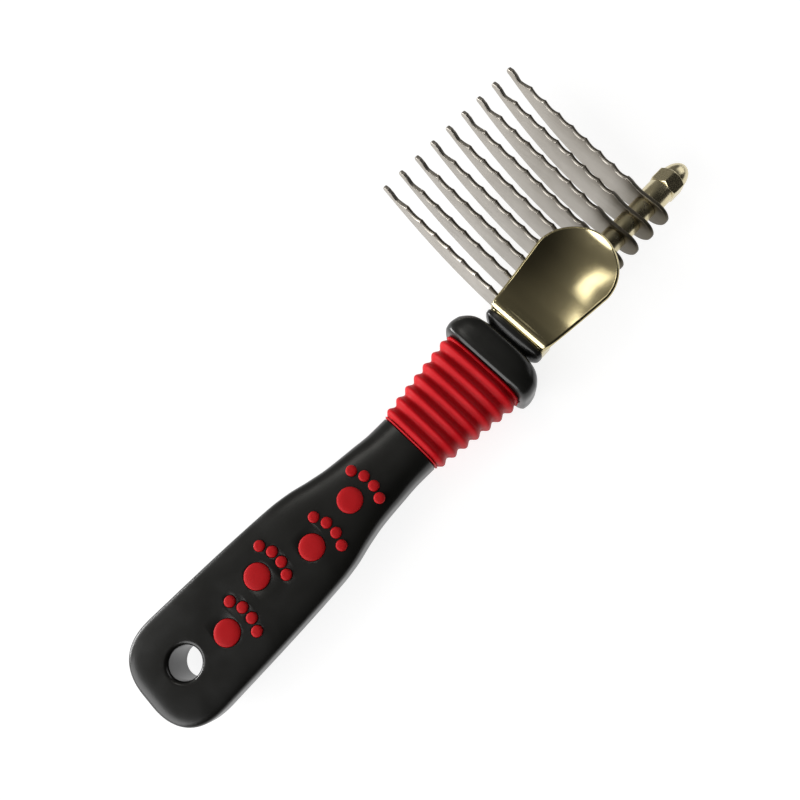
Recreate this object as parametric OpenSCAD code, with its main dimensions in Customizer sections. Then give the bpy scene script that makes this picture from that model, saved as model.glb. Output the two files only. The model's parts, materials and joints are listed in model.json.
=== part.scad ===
// Dematting comb: a hand comb with a row of hooked, serrated blades clamped on a
// steel shaft behind a thumb rest.
// Frame: the origin is the centre of the hanging hole at mid thickness, +X runs along
// the handle to the blade end, +Y points along the blades to their tips, and +Z is the
// thumb side, which the serrated edges also face.

/* [Handle] */
// Distance from the hanging hole's centre to the butt end
butt_reach = 12.9; // [12:0.1:16]
// Half width of the handle at the hanging hole
butt_half = 14.8; // [13:0.1:16]
// Half width of the handle at the waist
waist_half = 9.0; // [8.5:0.1:10]
// Distance from the hanging hole to the start of the grip sleeve
grip_start = 77.6; // [76:0.1:79]
// Distance from the hanging hole to the collar
collar_start = 105.9; // [105:0.1:107]
// Length of the collar along the handle
collar_t = 8.7; // [8.2:0.1:9.4]
// Half width of the collar
collar_half = 14.2; // [13:0.1:15]
// Height of the handle's front face above the mid plane
front_rise = 7.0; // [6:0.1:8]
// Depth of the handle's back below the mid plane
back_drop = 7.0; // [6.5:0.1:8]

/* [Hanging hole] */
// Radius of the hanging hole
hole_r = 4.3; // [3:0.1:5]
// Width and depth of the hole's countersunk lip
hole_lip = 0.8; // [0.2:0.1:1.2]

/* [Paw inlays] */
// Radius of the large pad of each paw
pad_r = 3.4; // [2.5:0.1:3.6]
// Radius of each toe
toe_r = 1.45; // [1:0.05:1.5]
// Height of the inlays above the front face
inlay_proud = 0.7; // [0.3:0.1:1]
// Depth of the pockets that the inlays fill
inlay_depth = 1.3; // [0.8:0.1:2]

/* [Grip sleeve] */
// Half width of the sleeve's first rib
grip_half_start = 10.2; // [9.8:0.1:10.6]
// Half width of the sleeve's last rib
grip_half_end = 13.5; // [12.8:0.1:13.8]
// Number of ribs around the sleeve
rib_count = 7; // [6:1:9]
// Height of a rib above the groove next to it
rib_height = 1.1; // [0.5:0.1:1.2]

/* [Head] */
// Thickness of the neck ferrule along the handle
ferrule_t = 3.6; // [3.2:0.1:4]
// Thickness of the ledge of the casting along the handle
ledge_t = 3.6; // [3.2:0.1:4]
// Half width of the neck ferrule and of the ledge beside it
neck_half = 9.6; // [9:0.1:10]
// Greatest half width of the thumb rest
thumb_half = 12.1; // [11:0.1:13]
// Distance from the hanging hole to the free end of the thumb rest
thumb_end = 151.2; // [150.4:0.1:154]
// Length of the tang inside the handle
tang_len = 80; // [60:1:90]
// Width of the tang
tang_w = 8; // [7:0.5:8]
// Thickness of the tang
tang_t = 5; // [4.8:0.1:5.2]

/* [Blades] */
// Spacing of the blades along the shaft
blade_pitch = 6.1; // [5.5:0.1:6.2]
// Thickness of a blade
blade_t = 1.2; // [0.8:0.1:1.5]
// Reach of the blade tips from the shaft's axis
blade_reach = 52.6; // [50.6:0.1:54]
// Radius of the rounded root of a blade
root_r = 4.9; // [4.6:0.1:5.4]
// Distance by which the root's centre lies below the shaft's axis
root_drop = 2.5; // [2.1:0.1:2.7]
// Depth of the hollows between the serration's crests
scallop_depth = 1.1; // [0.6:0.1:1.4]

/* [Shaft] */
// Radius of the shaft
shaft_r = 2.5; // [2.4:0.1:2.6]
// Half thickness of the shaft across its two flats
shaft_flat = 2.1; // [1.9:0.1:2.2]
// Radial clearance of every part that slides or turns on the shaft
fit_gap = 0.05; // [0.02:0.01:0.09]
// Outer radius of the spacers
spacer_r = 3.4; // [3.2:0.1:3.8]
// Outer radius of the end collar
collar_r = 3.95; // [3.6:0.05:4.2]
// Length of the end collar
collar_len = 5.4; // [3:0.1:6]

/* [End nut] */
// Distance across the flats of the end nut
nut_flats = 8; // [7.6:0.1:8.4]
// Length of the end nut's six-sided part
nut_hex_len = 4.6; // [4.4:0.1:5]
// Length of the end nut's dome
nut_dome_len = 5.35; // [5.2:0.05:6]
// Radius of the dome where it meets the six-sided part
nut_dome_r = 3.7; // [3.5:0.05:3.8]
// Depth of the end nut's blind threaded hole
nut_bore_len = 7.8; // [7:0.1:8]

/* [Hidden] */
blade_count = 9;

plastic_black = [0.13, 0.14, 0.13];
rubber_red = [0.84, 0.22, 0.33];
cast_gold = [0.62, 0.58, 0.45];
steel_satin = [0.68, 0.67, 0.64];
plated_gold = [0.74, 0.69, 0.55];

round_fn = 64;
ring_points = 32;
overlap = 1;
touch = 0.02;
inlay_dome = 0.45;

collar_end = collar_start + collar_t;
thumb_start = collar_end + ferrule_t;
ledge_end = thumb_start + ledge_t;
grip_skin = 2.1;

// Stations of the black core: distance along the handle, half width, front height,
// back depth, height of the widest line, and the squareness of its front and back
core_body = [
    [0, butt_half, front_rise, back_drop, 3.5, 5, 4],
    [20, butt_half - 0.5, front_rise, back_drop, 3.4, 5, 4],
    [40, butt_half - 1.45, front_rise, back_drop, 3.0, 5, 4],
    [46, butt_half - 2.2, front_rise - 0.05, back_drop, 2.7, 4.8, 3.8],
    [52, butt_half - 3.6, front_rise - 0.1, back_drop + 0.1, 2.2, 4.6, 3.6],
    [58, butt_half - 4.7, front_rise - 0.2, back_drop + 0.2, 1.6, 4.4, 3.5],
    [66, waist_half + 0.4, front_rise - 0.5, back_drop + 0.3, 0.8, 4, 3.4],
    [72, waist_half, front_rise - 0.8, back_drop + 0.4, 0, 3.6, 3.3],
    [grip_start, waist_half + 0.05, front_rise - 0.8, back_drop + 0.5, -0.4, 3.4, 3.3]];
core_under_grip = [
    [grip_start + touch, grip_half_start - grip_skin, front_rise - 1.8, back_drop - 0.6, -0.5, 3.2, 3],
    [collar_start - touch, grip_half_end - grip_skin, front_rise - 1.0, back_drop + 0.2, -0.8, 3.2, 3]];
core_collar = [
    [collar_start, collar_half - 0.9, front_rise + 0.7, back_drop + 1.4, -0.8, 4, 5],
    [collar_start + 0.7, collar_half - 0.25, front_rise + 1.2, back_drop + 2.1, -0.8, 4.5, 6],
    [collar_start + 2.4, collar_half, front_rise + 1.3, back_drop + 2.2, -0.8, 5, 6],
    [collar_start + 4.6, collar_half - 0.4, front_rise + 1.3, back_drop + 2.2, -0.8, 5, 6],
    [collar_start + 6.5, collar_half - 1.6, front_rise + 1.25, back_drop + 2.1, -0.6, 4.5, 6],
    [collar_start + 7.9, collar_half - 3.3, front_rise + 1.0, back_drop + 1.4, -0.3, 4, 4.5],
    [collar_end, collar_half - 5.6, front_rise - 0.2, back_drop - 0.6, 0, 3.5, 3.5]];
butt_steps = 7;
butt_sweep = 88;
butt_round = 2.6;

paw_places = [[12.4, -2.3], [26.8, 2.4], [41.5, -2.3], [56.4, -0.7]];
toe_places = [[5.45, 5.15], [6.8, 1.8], [6.8, -1.75], [5.6, -5]];

tang_start = thumb_start - tang_len;
ledge_inset = 0.8;
boss_r = 6.4;
boss_socket = 10;

// Thumb rest: distance along the handle, height of the top at the middle, rise of the
// cupped edges, and thickness
thumb_line = [
    [thumb_start, 6.9, 0, 3.0],
    [thumb_start + 1, 7.95, 0, 3.6],
    [thumb_start + 1.7, 8.2, 0.05, 3.0],
    [thumb_start + 2.8, 7.95, 0.2, 1.9],
    [thumb_start + 5.3, 7.5, 0.7, 1.4],
    [thumb_start + 9.8, 7.2, 1.35, 1.4],
    [thumb_start + 15.8, 7.3, 1.95, 1.5],
    [thumb_start + 21.8, 7.85, 2.25, 1.6],
    [thumb_start + 26.8, 9.0, 2.1, 1.6],
    [thumb_start + 30.8, 10.8, 1.4, 1.5],
    [thumb_end, 12.4, 0.6, 1.4]];
thumb_widest = thumb_start + 21.3;
thumb_min_half = 0.6;
thumb_steps = 12;
thumb_across = 12;
thumb_edge = 0.3;

blade_start = ledge_end;
spacer_len = blade_pitch - blade_t;
crest_pitch = 5.2;
crest_count = 8;
first_crest = [8.0, 5.9];
first_crest_foot = [6.6, 5.7];
crest_slope = [0.98, 0.174];
hook_start = 6;
tip_r = 1.0;
tip_z = 12.5;
tip_steps = 5;
tip_sweep = [-100, 65];
tip_back = [blade_reach - 1.9, tip_z + 1.0];
tip_neck = [blade_reach - 5, 11.25];
spine_bend = [29, -4.3];
spine_end = [blade_reach - 0.7, 11.6];
spine_steps = 14;
scallop_steps = 6;
scallop_power = 0.9;
root_front = 4.2;
root_steps = 14;
root_shoulder = [2.5, root_front];

end_gap = 0.3;
stack_end = blade_start + (blade_count - 1) * blade_pitch + blade_t;
nut_start = stack_end + collar_len;
shaft_end = nut_start + nut_bore_len - end_gap;
bore_r = shaft_r + fit_gap;
bore_flat = shaft_flat + fit_gap;
hex_sides = 6;
nut_chamfer = 0.45;
nut_dome_steps = 8;

// Value of column c at distance x, joined smoothly between the stations of a table
function ease(u) = u * u * (3 - 2 * u);
function station(table, x, i = 0) =
    i >= len(table) - 2 || x <= table[i + 1][0] ? i : station(table, x, i + 1);
function blend(table, x, c, straight = false) =
    let (i = station(table, x),
         u = (x - table[i][0]) / (table[i + 1][0] - table[i][0]),
         k = min(1, max(0, u)))
    table[i][c] + (table[i + 1][c] - table[i][c]) * (straight ? k : (k + ease(k)) / 2);

// A closed ring of points across the handle at x: a rounded shape whose half width is
// w, from height zb to zf, widest at zw, squarer in front with nf and behind with nb
function power(v, n) = sign(v) * pow(abs(v), 2 / n);
function ring(x, w, zf, zb, zw, nf, nb) =
    [for (i = [0 : ring_points - 1])
        let (a = 360 * (i + 0.5) / ring_points,
             n = sin(a) > 0 ? nf : nb,
             h = sin(a) > 0 ? zf - zw : zw - zb)
        [x, w * power(cos(a), n), zw + h * power(sin(a), n)]];
function row_ring(r, dw = 0, dz = 0) =
    ring(r[0], r[1] + dw, r[2] + dz, -r[3] - dz, r[4], r[5], r[6]);
function table_ring(table, x, dw = 0, dz = 0) =
    row_ring([for (c = [0 : 6]) c == 0 ? x : blend(table, x, c)], dw, dz);

// A closed skin through rings of equal length, capped at both ends or joined in a loop
module loft(rings, looped = false) {
    n = len(rings[0]);
    m = len(rings);
    pts = [for (r = rings) each r];
    walls = [for (j = [0 : m - (looped ? 1 : 2)], i = [0 : n - 1])
        let (a = j * n + i, b = j * n + (i + 1) % n,
             c = (j + 1) % m * n + (i + 1) % n, d = (j + 1) % m * n + i)
        each [[a, c, b], [a, d, c]]];
    caps = looped ? [] : [[for (i = [0 : n - 1]) i],
                          [for (i = [n - 1 : -1 : 0]) (m - 1) * n + i]];
    polyhedron(points = pts, faces = concat(caps, walls));
}

module along_x(x) {
    translate([x, 0, 0]) rotate([0, 90, 0]) children();
}

// A round bar along X with two flats facing +Z and -Z
module flatted_bar(r, flat, x0, x1) {
    along_x(x0)
        intersection() {
            cylinder(r = r, h = x1 - x0, $fn = round_fn);
            translate([-flat, -r, 0]) cube([2 * flat, 2 * r, x1 - x0]);
        }
}

// The flat bar of the casting that the handle is moulded round
module tang(x0, x1) {
    translate([x0, -tang_w / 2, -tang_t / 2]) cube([x1 - x0, tang_w, tang_t]);
}

// Rings of the rounded butt, which follows a superellipse in plan
function butt_ring(u) =
    let (s = pow(1 - pow(u, butt_round), 1 / butt_round),
         t = pow(1 - pow(u, butt_round * 3), 1 / (butt_round * 2)),
         r = core_body[0])
    ring(-butt_reach * u, r[1] * s, r[4] + (r[2] - r[4]) * t, r[4] - (r[3] + r[4]) * t,
         r[4], r[5], r[6]);
butt_rings = [for (i = [0 : butt_steps - 1]) butt_ring(sin(90 - butt_sweep * i / butt_steps))];
body_xs = [0, 10, 20, 30, 40, 43, 46, 49, 52, 55, 58, 62, 66, 69, 72, 75, grip_start];

module inlay_shape(r) {
    rotate_extrude($fn = round_fn)
        polygon([[0, front_rise - inlay_depth],
                 [r, front_rise - inlay_depth],
                 [r, front_rise + inlay_proud - inlay_dome],
                 [r - inlay_dome * 0.3, front_rise + inlay_proud - inlay_dome * 0.3],
                 [r - inlay_dome, front_rise + inlay_proud],
                 [0, front_rise + inlay_proud]]);
}

module paw_pockets() {
    pocket_h = inlay_depth + overlap;
    for (p = paw_places) {
        translate([p[0], p[1], front_rise - inlay_depth])
            cylinder(r = pad_r, h = pocket_h, $fn = round_fn);
        for (t = toe_places)
            translate([p[0] + t[0], p[1] + t[1], front_rise - inlay_depth])
                cylinder(r = toe_r, h = pocket_h, $fn = round_fn);
    }
}

module paw_inlay(i) {
    p = paw_places[i - 1];
    color(rubber_red) {
        translate([p[0], p[1], 0]) inlay_shape(pad_r);
        for (t = toe_places)
            translate([p[0] + t[0], p[1] + t[1], 0]) inlay_shape(toe_r);
    }
}

module hanging_hole() {
    lip_z = front_rise - hole_lip;
    back_z = back_drop - hole_lip;
    translate([0, 0, -back_drop - overlap])
        cylinder(r = hole_r, h = front_rise + back_drop + 2 * overlap, $fn = round_fn);
    translate([0, 0, lip_z])
        cylinder(r1 = hole_r, r2 = hole_r + 2 * hole_lip, h = 2 * hole_lip, $fn = round_fn);
    translate([0, 0, -back_z - 2 * hole_lip])
        cylinder(r1 = hole_r + 2 * hole_lip, r2 = hole_r, h = 2 * hole_lip, $fn = round_fn);
}

module handle_core() {
    color(plastic_black)
        difference() {
            loft(concat(butt_rings,
                        [for (x = body_xs) table_ring(core_body, x)],
                        [for (r = core_under_grip) row_ring(r)],
                        [for (r = core_collar) row_ring(r)]));
            hanging_hole();
            paw_pockets();
            tang(tang_start, thumb_start);
        }
}

// Ring of the ribbed sleeve at x, with ribs as rounded waves between two plain ends
rib_first = grip_start + 2.4;
rib_last = collar_start - 2.92;
rib_pitch = (rib_last - rib_first) / (rib_count - 1);
rib_plain = 0.25;
rib_round = 1.8;
grip_shape = [
    [grip_start, grip_half_start - 0.2, front_rise - 0.1, back_drop + 1.0, -0.5, 3.2, 3],
    [collar_start, grip_half_end + 0.1, front_rise + 0.7, back_drop + 1.6, -0.8, 3.2, 3]];
rib_steps = 6;
function rib_wave(x) =
    x < rib_first - rib_pitch / 2 || x > rib_last + rib_pitch / 2 ? rib_plain
    : pow(abs(cos(180 * (x - rib_first) / rib_pitch)), rib_round);
function sleeve_ring(x) =
    let (cut = rib_height * (rib_wave(x) - 1))
    row_ring([x, for (c = [1 : 6]) blend(grip_shape, x, c, true)], cut, cut);
sleeve_start = grip_start + 2 * touch;
sleeve_end = collar_start - 2 * touch;
sleeve_xs = concat([sleeve_start],
                   [for (i = [-rib_steps / 2 : rib_count * rib_steps - rib_steps / 2])
                        rib_first + i * rib_pitch / rib_steps],
                   [sleeve_end]);

module grip_sleeve() {
    inner = [for (x = [sleeve_end, sleeve_start]) table_ring(core_under_grip, x, touch, touch)];
    color(rubber_red)
        loft(concat([for (x = sleeve_xs) sleeve_ring(x)], inner), looped = true);
}

module neck_ferrule() {
    rows = [
        [collar_end + touch, neck_half - 2.8, front_rise - 1.6, back_drop - 3.5, 3, 3.5, 2.6],
        [collar_end + 0.7, neck_half - 2.5, front_rise - 1.2, back_drop - 3.3, 3, 3.5, 2.6],
        [collar_end + 2.6, neck_half, front_rise - 0.2, back_drop - 2.6, 3, 4, 2.6],
        [thumb_start, neck_half, front_rise - 0.2, back_drop - 2.6, 3, 4, 2.6]];
    color(plastic_black)
        difference() {
            loft([for (r = rows) row_ring(r)]);
            tang(collar_end - overlap, thumb_start + overlap);
        }
}

// Half width of the thumb rest at x: a straight taper, then half an ellipse
function thumb_width(x) =
    x < thumb_widest
    ? neck_half + (thumb_half - neck_half) * (x - thumb_start) / (thumb_widest - thumb_start)
    : thumb_half * sqrt(max(0, 1 - pow((x - thumb_widest) / (thumb_end - thumb_widest), 2)));
function thumb_ring(x) =
    let (w = max(thumb_min_half, thumb_width(x)), top = blend(thumb_line, x, 1),
         cup = blend(thumb_line, x, 2), t = blend(thumb_line, x, 3),
         side = [for (i = [-thumb_across : 2 : thumb_across]) i / thumb_across])
    concat([for (s = side)
                [x, -w * s, top + cup * pow(w * s / thumb_half, 2)
                            - (abs(s) == 1 ? t * thumb_edge : 0)]],
           [for (i = [len(side) - 1 : -1 : 0])
                let (s = side[i])
                [x, -w * s, top + cup * pow(w * s / thumb_half, 2)
                            - (abs(s) == 1 ? t * (1 - thumb_edge) : t)]]);
thumb_near = [0, 0.5, 1, 1.35, 1.7, 2.2, 2.8, 3.8, 5.3, 7.8, 9.8, 12.8, 15.8, 18.8];
thumb_xs = concat([for (d = thumb_near) thumb_start + d],
                  [for (i = [0 : thumb_steps])
                       thumb_widest + (thumb_end - thumb_widest) * sin(90 * i / thumb_steps)]);

module head_casting() {
    ledge_half = neck_half - ledge_inset;
    color(cast_gold)
        difference() {
            union() {
                loft([for (x = thumb_xs) thumb_ring(x)]);
                translate([thumb_start, -ledge_half, 0])
                    cube([ledge_t, 2 * ledge_half, front_rise - 1]);
                along_x(thumb_start)
                    cylinder(r = boss_r, h = ledge_t, $fn = round_fn);
                tang(tang_start, thumb_start + overlap);
            }
            flatted_bar(shaft_r, shaft_flat, ledge_end - boss_socket, ledge_end + overlap);
        }
}

module shaft() {
    color(steel_satin)
        flatted_bar(shaft_r, shaft_flat, ledge_end - boss_socket, shaft_end);
}

// Outline of a blade, as [y, z] points from the root's front, down round the root, up
// the spine, round the tip and back down the serrated edge
function spine(u) =
    [for (c = [0, 1])
        [hook_start, -root_r][c] * pow(1 - u, 2) + 2 * spine_bend[c] * u * (1 - u)
        + spine_end[c] * u * u];
function crest(i) = first_crest + i * crest_pitch * crest_slope;
function scallop(a, b, u) =
    [a[0] + (b[0] - a[0]) * u,
     a[1] + (b[1] - a[1]) * u - scallop_depth * pow(sin(180 * u), scallop_power)];
root_arc = [for (i = [0 : root_steps]) let (a = 90 + 180 * i / root_steps)
    [-root_drop + root_r * cos(a), root_r * sin(a) * (sin(a) > 0 ? root_front / root_r : 1)]];
serration = [for (i = [crest_count - 2 : -1 : 0], k = [scallop_steps : -1 : 1])
    scallop(crest(i), crest(i + 1), k / scallop_steps)];
blade_outline = concat(
    root_arc,
    [for (i = [0 : spine_steps]) spine(i / spine_steps)],
    [for (i = [1 : tip_steps])
        let (a = tip_sweep[0] + (tip_sweep[1] - tip_sweep[0]) * i / tip_steps)
        [blade_reach - tip_r + tip_r * cos(a), tip_z + tip_r * sin(a)]],
    [tip_back, tip_neck],
    serration,
    [first_crest, first_crest_foot, root_shoulder]);

module blade(i) {
    x = blade_start + (i - 1) * blade_pitch;
    color(steel_satin)
        difference() {
            translate([x, 0, 0]) rotate([90, 0, 90])
                linear_extrude(height = blade_t) polygon(blade_outline);
            flatted_bar(bore_r, bore_flat, x - overlap, x + blade_t + overlap);
        }
}

module tube(x, len, r) {
    along_x(x)
        difference() {
            cylinder(r = r, h = len, $fn = round_fn);
            translate([0, 0, -overlap])
                cylinder(r = bore_r, h = len + 2 * overlap, $fn = round_fn);
        }
}

module spacer(i) {
    color(plated_gold)
        tube(blade_start + (i - 1) * blade_pitch + blade_t, spacer_len, spacer_r);
}

module end_collar() {
    color(plated_gold) tube(stack_end, collar_len, collar_r);
}

module end_nut() {
    corner_r = nut_flats / 2 / cos(180 / hex_sides);
    color(plated_gold)
        along_x(nut_start)
            difference() {
                union() {
                    intersection() {
                        cylinder(r = corner_r, h = nut_hex_len, $fn = hex_sides);
                        rotate_extrude($fn = round_fn)
                            polygon([[0, 0], [nut_flats / 2, 0], [corner_r, nut_chamfer],
                                     [corner_r, nut_hex_len - nut_chamfer],
                                     [nut_dome_r, nut_hex_len], [0, nut_hex_len]]);
                    }
                    translate([0, 0, nut_hex_len])
                        rotate_extrude($fn = round_fn)
                            polygon(concat([[0, 0]],
                                [for (i = [0 : nut_dome_steps]) let (a = 90 * i / nut_dome_steps)
                                    [nut_dome_r * cos(a), nut_dome_len * sin(a)]]));
                }
                translate([0, 0, -overlap])
                    cylinder(r = bore_r, h = nut_bore_len + overlap, $fn = round_fn);
            }
}

handle_core();
grip_sleeve();
paw_inlay(1);  // paw_inlay_1
paw_inlay(2);  // paw_inlay_2
paw_inlay(3);  // paw_inlay_3
paw_inlay(4);  // paw_inlay_4
neck_ferrule();
head_casting();
shaft();
blade(1);  // blade_1
blade(2);  // blade_2
blade(3);  // blade_3
blade(4);  // blade_4
blade(5);  // blade_5
blade(6);  // blade_6
blade(7);  // blade_7
blade(8);  // blade_8
blade(9);  // blade_9
spacer(1);  // spacer_1
spacer(2);  // spacer_2
spacer(3);  // spacer_3
spacer(4);  // spacer_4
spacer(5);  // spacer_5
spacer(6);  // spacer_6
spacer(7);  // spacer_7
spacer(8);  // spacer_8
end_collar();
end_nut();
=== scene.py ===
"""Looks of a dematting comb: a black handle with red soft inlays and a ribbed grip, a
pale gold casting with a cupped thumb rest, and hooked blades clamped on a flatted shaft.

Sizes in the classes are in millimetres and become metres as each mesh is made. The frame
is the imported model's own: +X along the handle, +Y along the blades, +Z the thumb side.
"""
import json
import logging
import math
from dataclasses import dataclass
from enum import Enum
from typing import Iterable, Optional, Sequence

import bmesh
import bpy
from mathutils import Matrix, Vector

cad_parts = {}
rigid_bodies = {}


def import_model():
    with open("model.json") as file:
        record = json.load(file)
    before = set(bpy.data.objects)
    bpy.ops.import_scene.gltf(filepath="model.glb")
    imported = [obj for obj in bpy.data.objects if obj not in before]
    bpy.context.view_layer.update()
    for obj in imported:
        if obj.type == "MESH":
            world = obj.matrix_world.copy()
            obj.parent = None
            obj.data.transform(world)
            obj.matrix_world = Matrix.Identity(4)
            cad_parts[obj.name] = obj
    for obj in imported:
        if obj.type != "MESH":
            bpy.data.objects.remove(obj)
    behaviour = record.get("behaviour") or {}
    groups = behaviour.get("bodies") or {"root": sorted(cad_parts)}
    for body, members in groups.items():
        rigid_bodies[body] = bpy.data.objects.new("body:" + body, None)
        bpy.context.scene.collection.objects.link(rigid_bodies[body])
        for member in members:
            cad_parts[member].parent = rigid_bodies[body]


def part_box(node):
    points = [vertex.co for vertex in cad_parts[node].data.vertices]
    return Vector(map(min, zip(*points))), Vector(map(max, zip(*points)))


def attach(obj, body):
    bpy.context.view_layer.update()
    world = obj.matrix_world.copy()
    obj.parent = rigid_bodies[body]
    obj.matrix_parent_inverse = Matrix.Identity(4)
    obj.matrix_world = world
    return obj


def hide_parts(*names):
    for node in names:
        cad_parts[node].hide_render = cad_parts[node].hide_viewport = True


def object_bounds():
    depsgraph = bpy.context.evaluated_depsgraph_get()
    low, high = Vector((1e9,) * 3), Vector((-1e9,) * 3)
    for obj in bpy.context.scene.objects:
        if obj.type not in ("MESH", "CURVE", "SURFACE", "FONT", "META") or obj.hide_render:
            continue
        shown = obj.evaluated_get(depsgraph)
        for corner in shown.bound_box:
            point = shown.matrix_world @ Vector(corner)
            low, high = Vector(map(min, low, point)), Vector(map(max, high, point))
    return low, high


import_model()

Point = tuple[float, float, float]
Colour = tuple[float, float, float]
Ring = list[Point]

CAD_BOX = [list(corner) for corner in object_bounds()]
MM = 0.001
LOG = logging.getLogger("comb")


class Slot(Enum):
    """Material slots of the record."""

    HANDLE = "handle_plastic"
    GRIP = "grip_rubber"
    PAW = "paw_rubber"
    HEAD = "head_metal"
    FITTINGS = "plated_fittings"
    SHAFT = "shaft_steel"
    BLADE = "blade_steel"


class Rim(Enum):
    """How the edge of a blade is finished, with the width of its rim in millimetres."""

    ROUNDED = 0.3
    GROUND = 0.45


# ---------------------------------------------------------------- node helpers


class NodeTree:
    """Adds nodes to one node tree and links them."""

    def __init__(self, tree: bpy.types.NodeTree) -> None:
        """Wraps a tree.

        Args:
            tree: the shader or geometry tree to build in.
        """
        self.tree = tree

    def add(self, kind: str, **settings: object) -> bpy.types.Node:
        """Adds one node.

        Args:
            kind: the node's type name.
            **settings: node properties to set, such as operation.

        Returns:
            The new node.
        """
        node = self.tree.nodes.new(kind)
        for name, value in settings.items():
            setattr(node, name, value)
        return node

    def feed(self, socket: bpy.types.NodeSocket, source: object) -> None:
        """Sets an input socket from another node's output or from a plain value."""
        if isinstance(source, bpy.types.NodeSocket):
            self.tree.links.new(source, socket)
        else:
            socket.default_value = source

    def maths(self, operation: str, *sources: object, kind: str = "ShaderNodeMath") -> bpy.types.NodeSocket:
        """Adds a Math node.

        Args:
            operation: the Math node's operation.
            *sources: its inputs, as sockets or numbers.
            kind: the node type, plain or vector maths.

        Returns:
            The result's socket.
        """
        node = self.add(kind, operation=operation)
        for socket, source in zip(node.inputs, sources):
            self.feed(socket, source)
        return node.outputs[0]

    def socket_in(self, name: str, kind: str, default: object = None) -> str:
        """Adds a named input to the group and returns its identifier."""
        item = self.tree.interface.new_socket(name, in_out="INPUT", socket_type=kind)
        if default is not None:
            item.default_value = default
        return item.identifier

    def socket_out(self, name: str, kind: str) -> None:
        """Adds a named output to the group."""
        self.tree.interface.new_socket(name, in_out="OUTPUT", socket_type=kind)


FLOAT = "NodeSocketFloat"
VECTOR = "NodeSocketVector"
GEOMETRY = "NodeSocketGeometry"


# ---------------------------------------------------------------- shader groups


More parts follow.
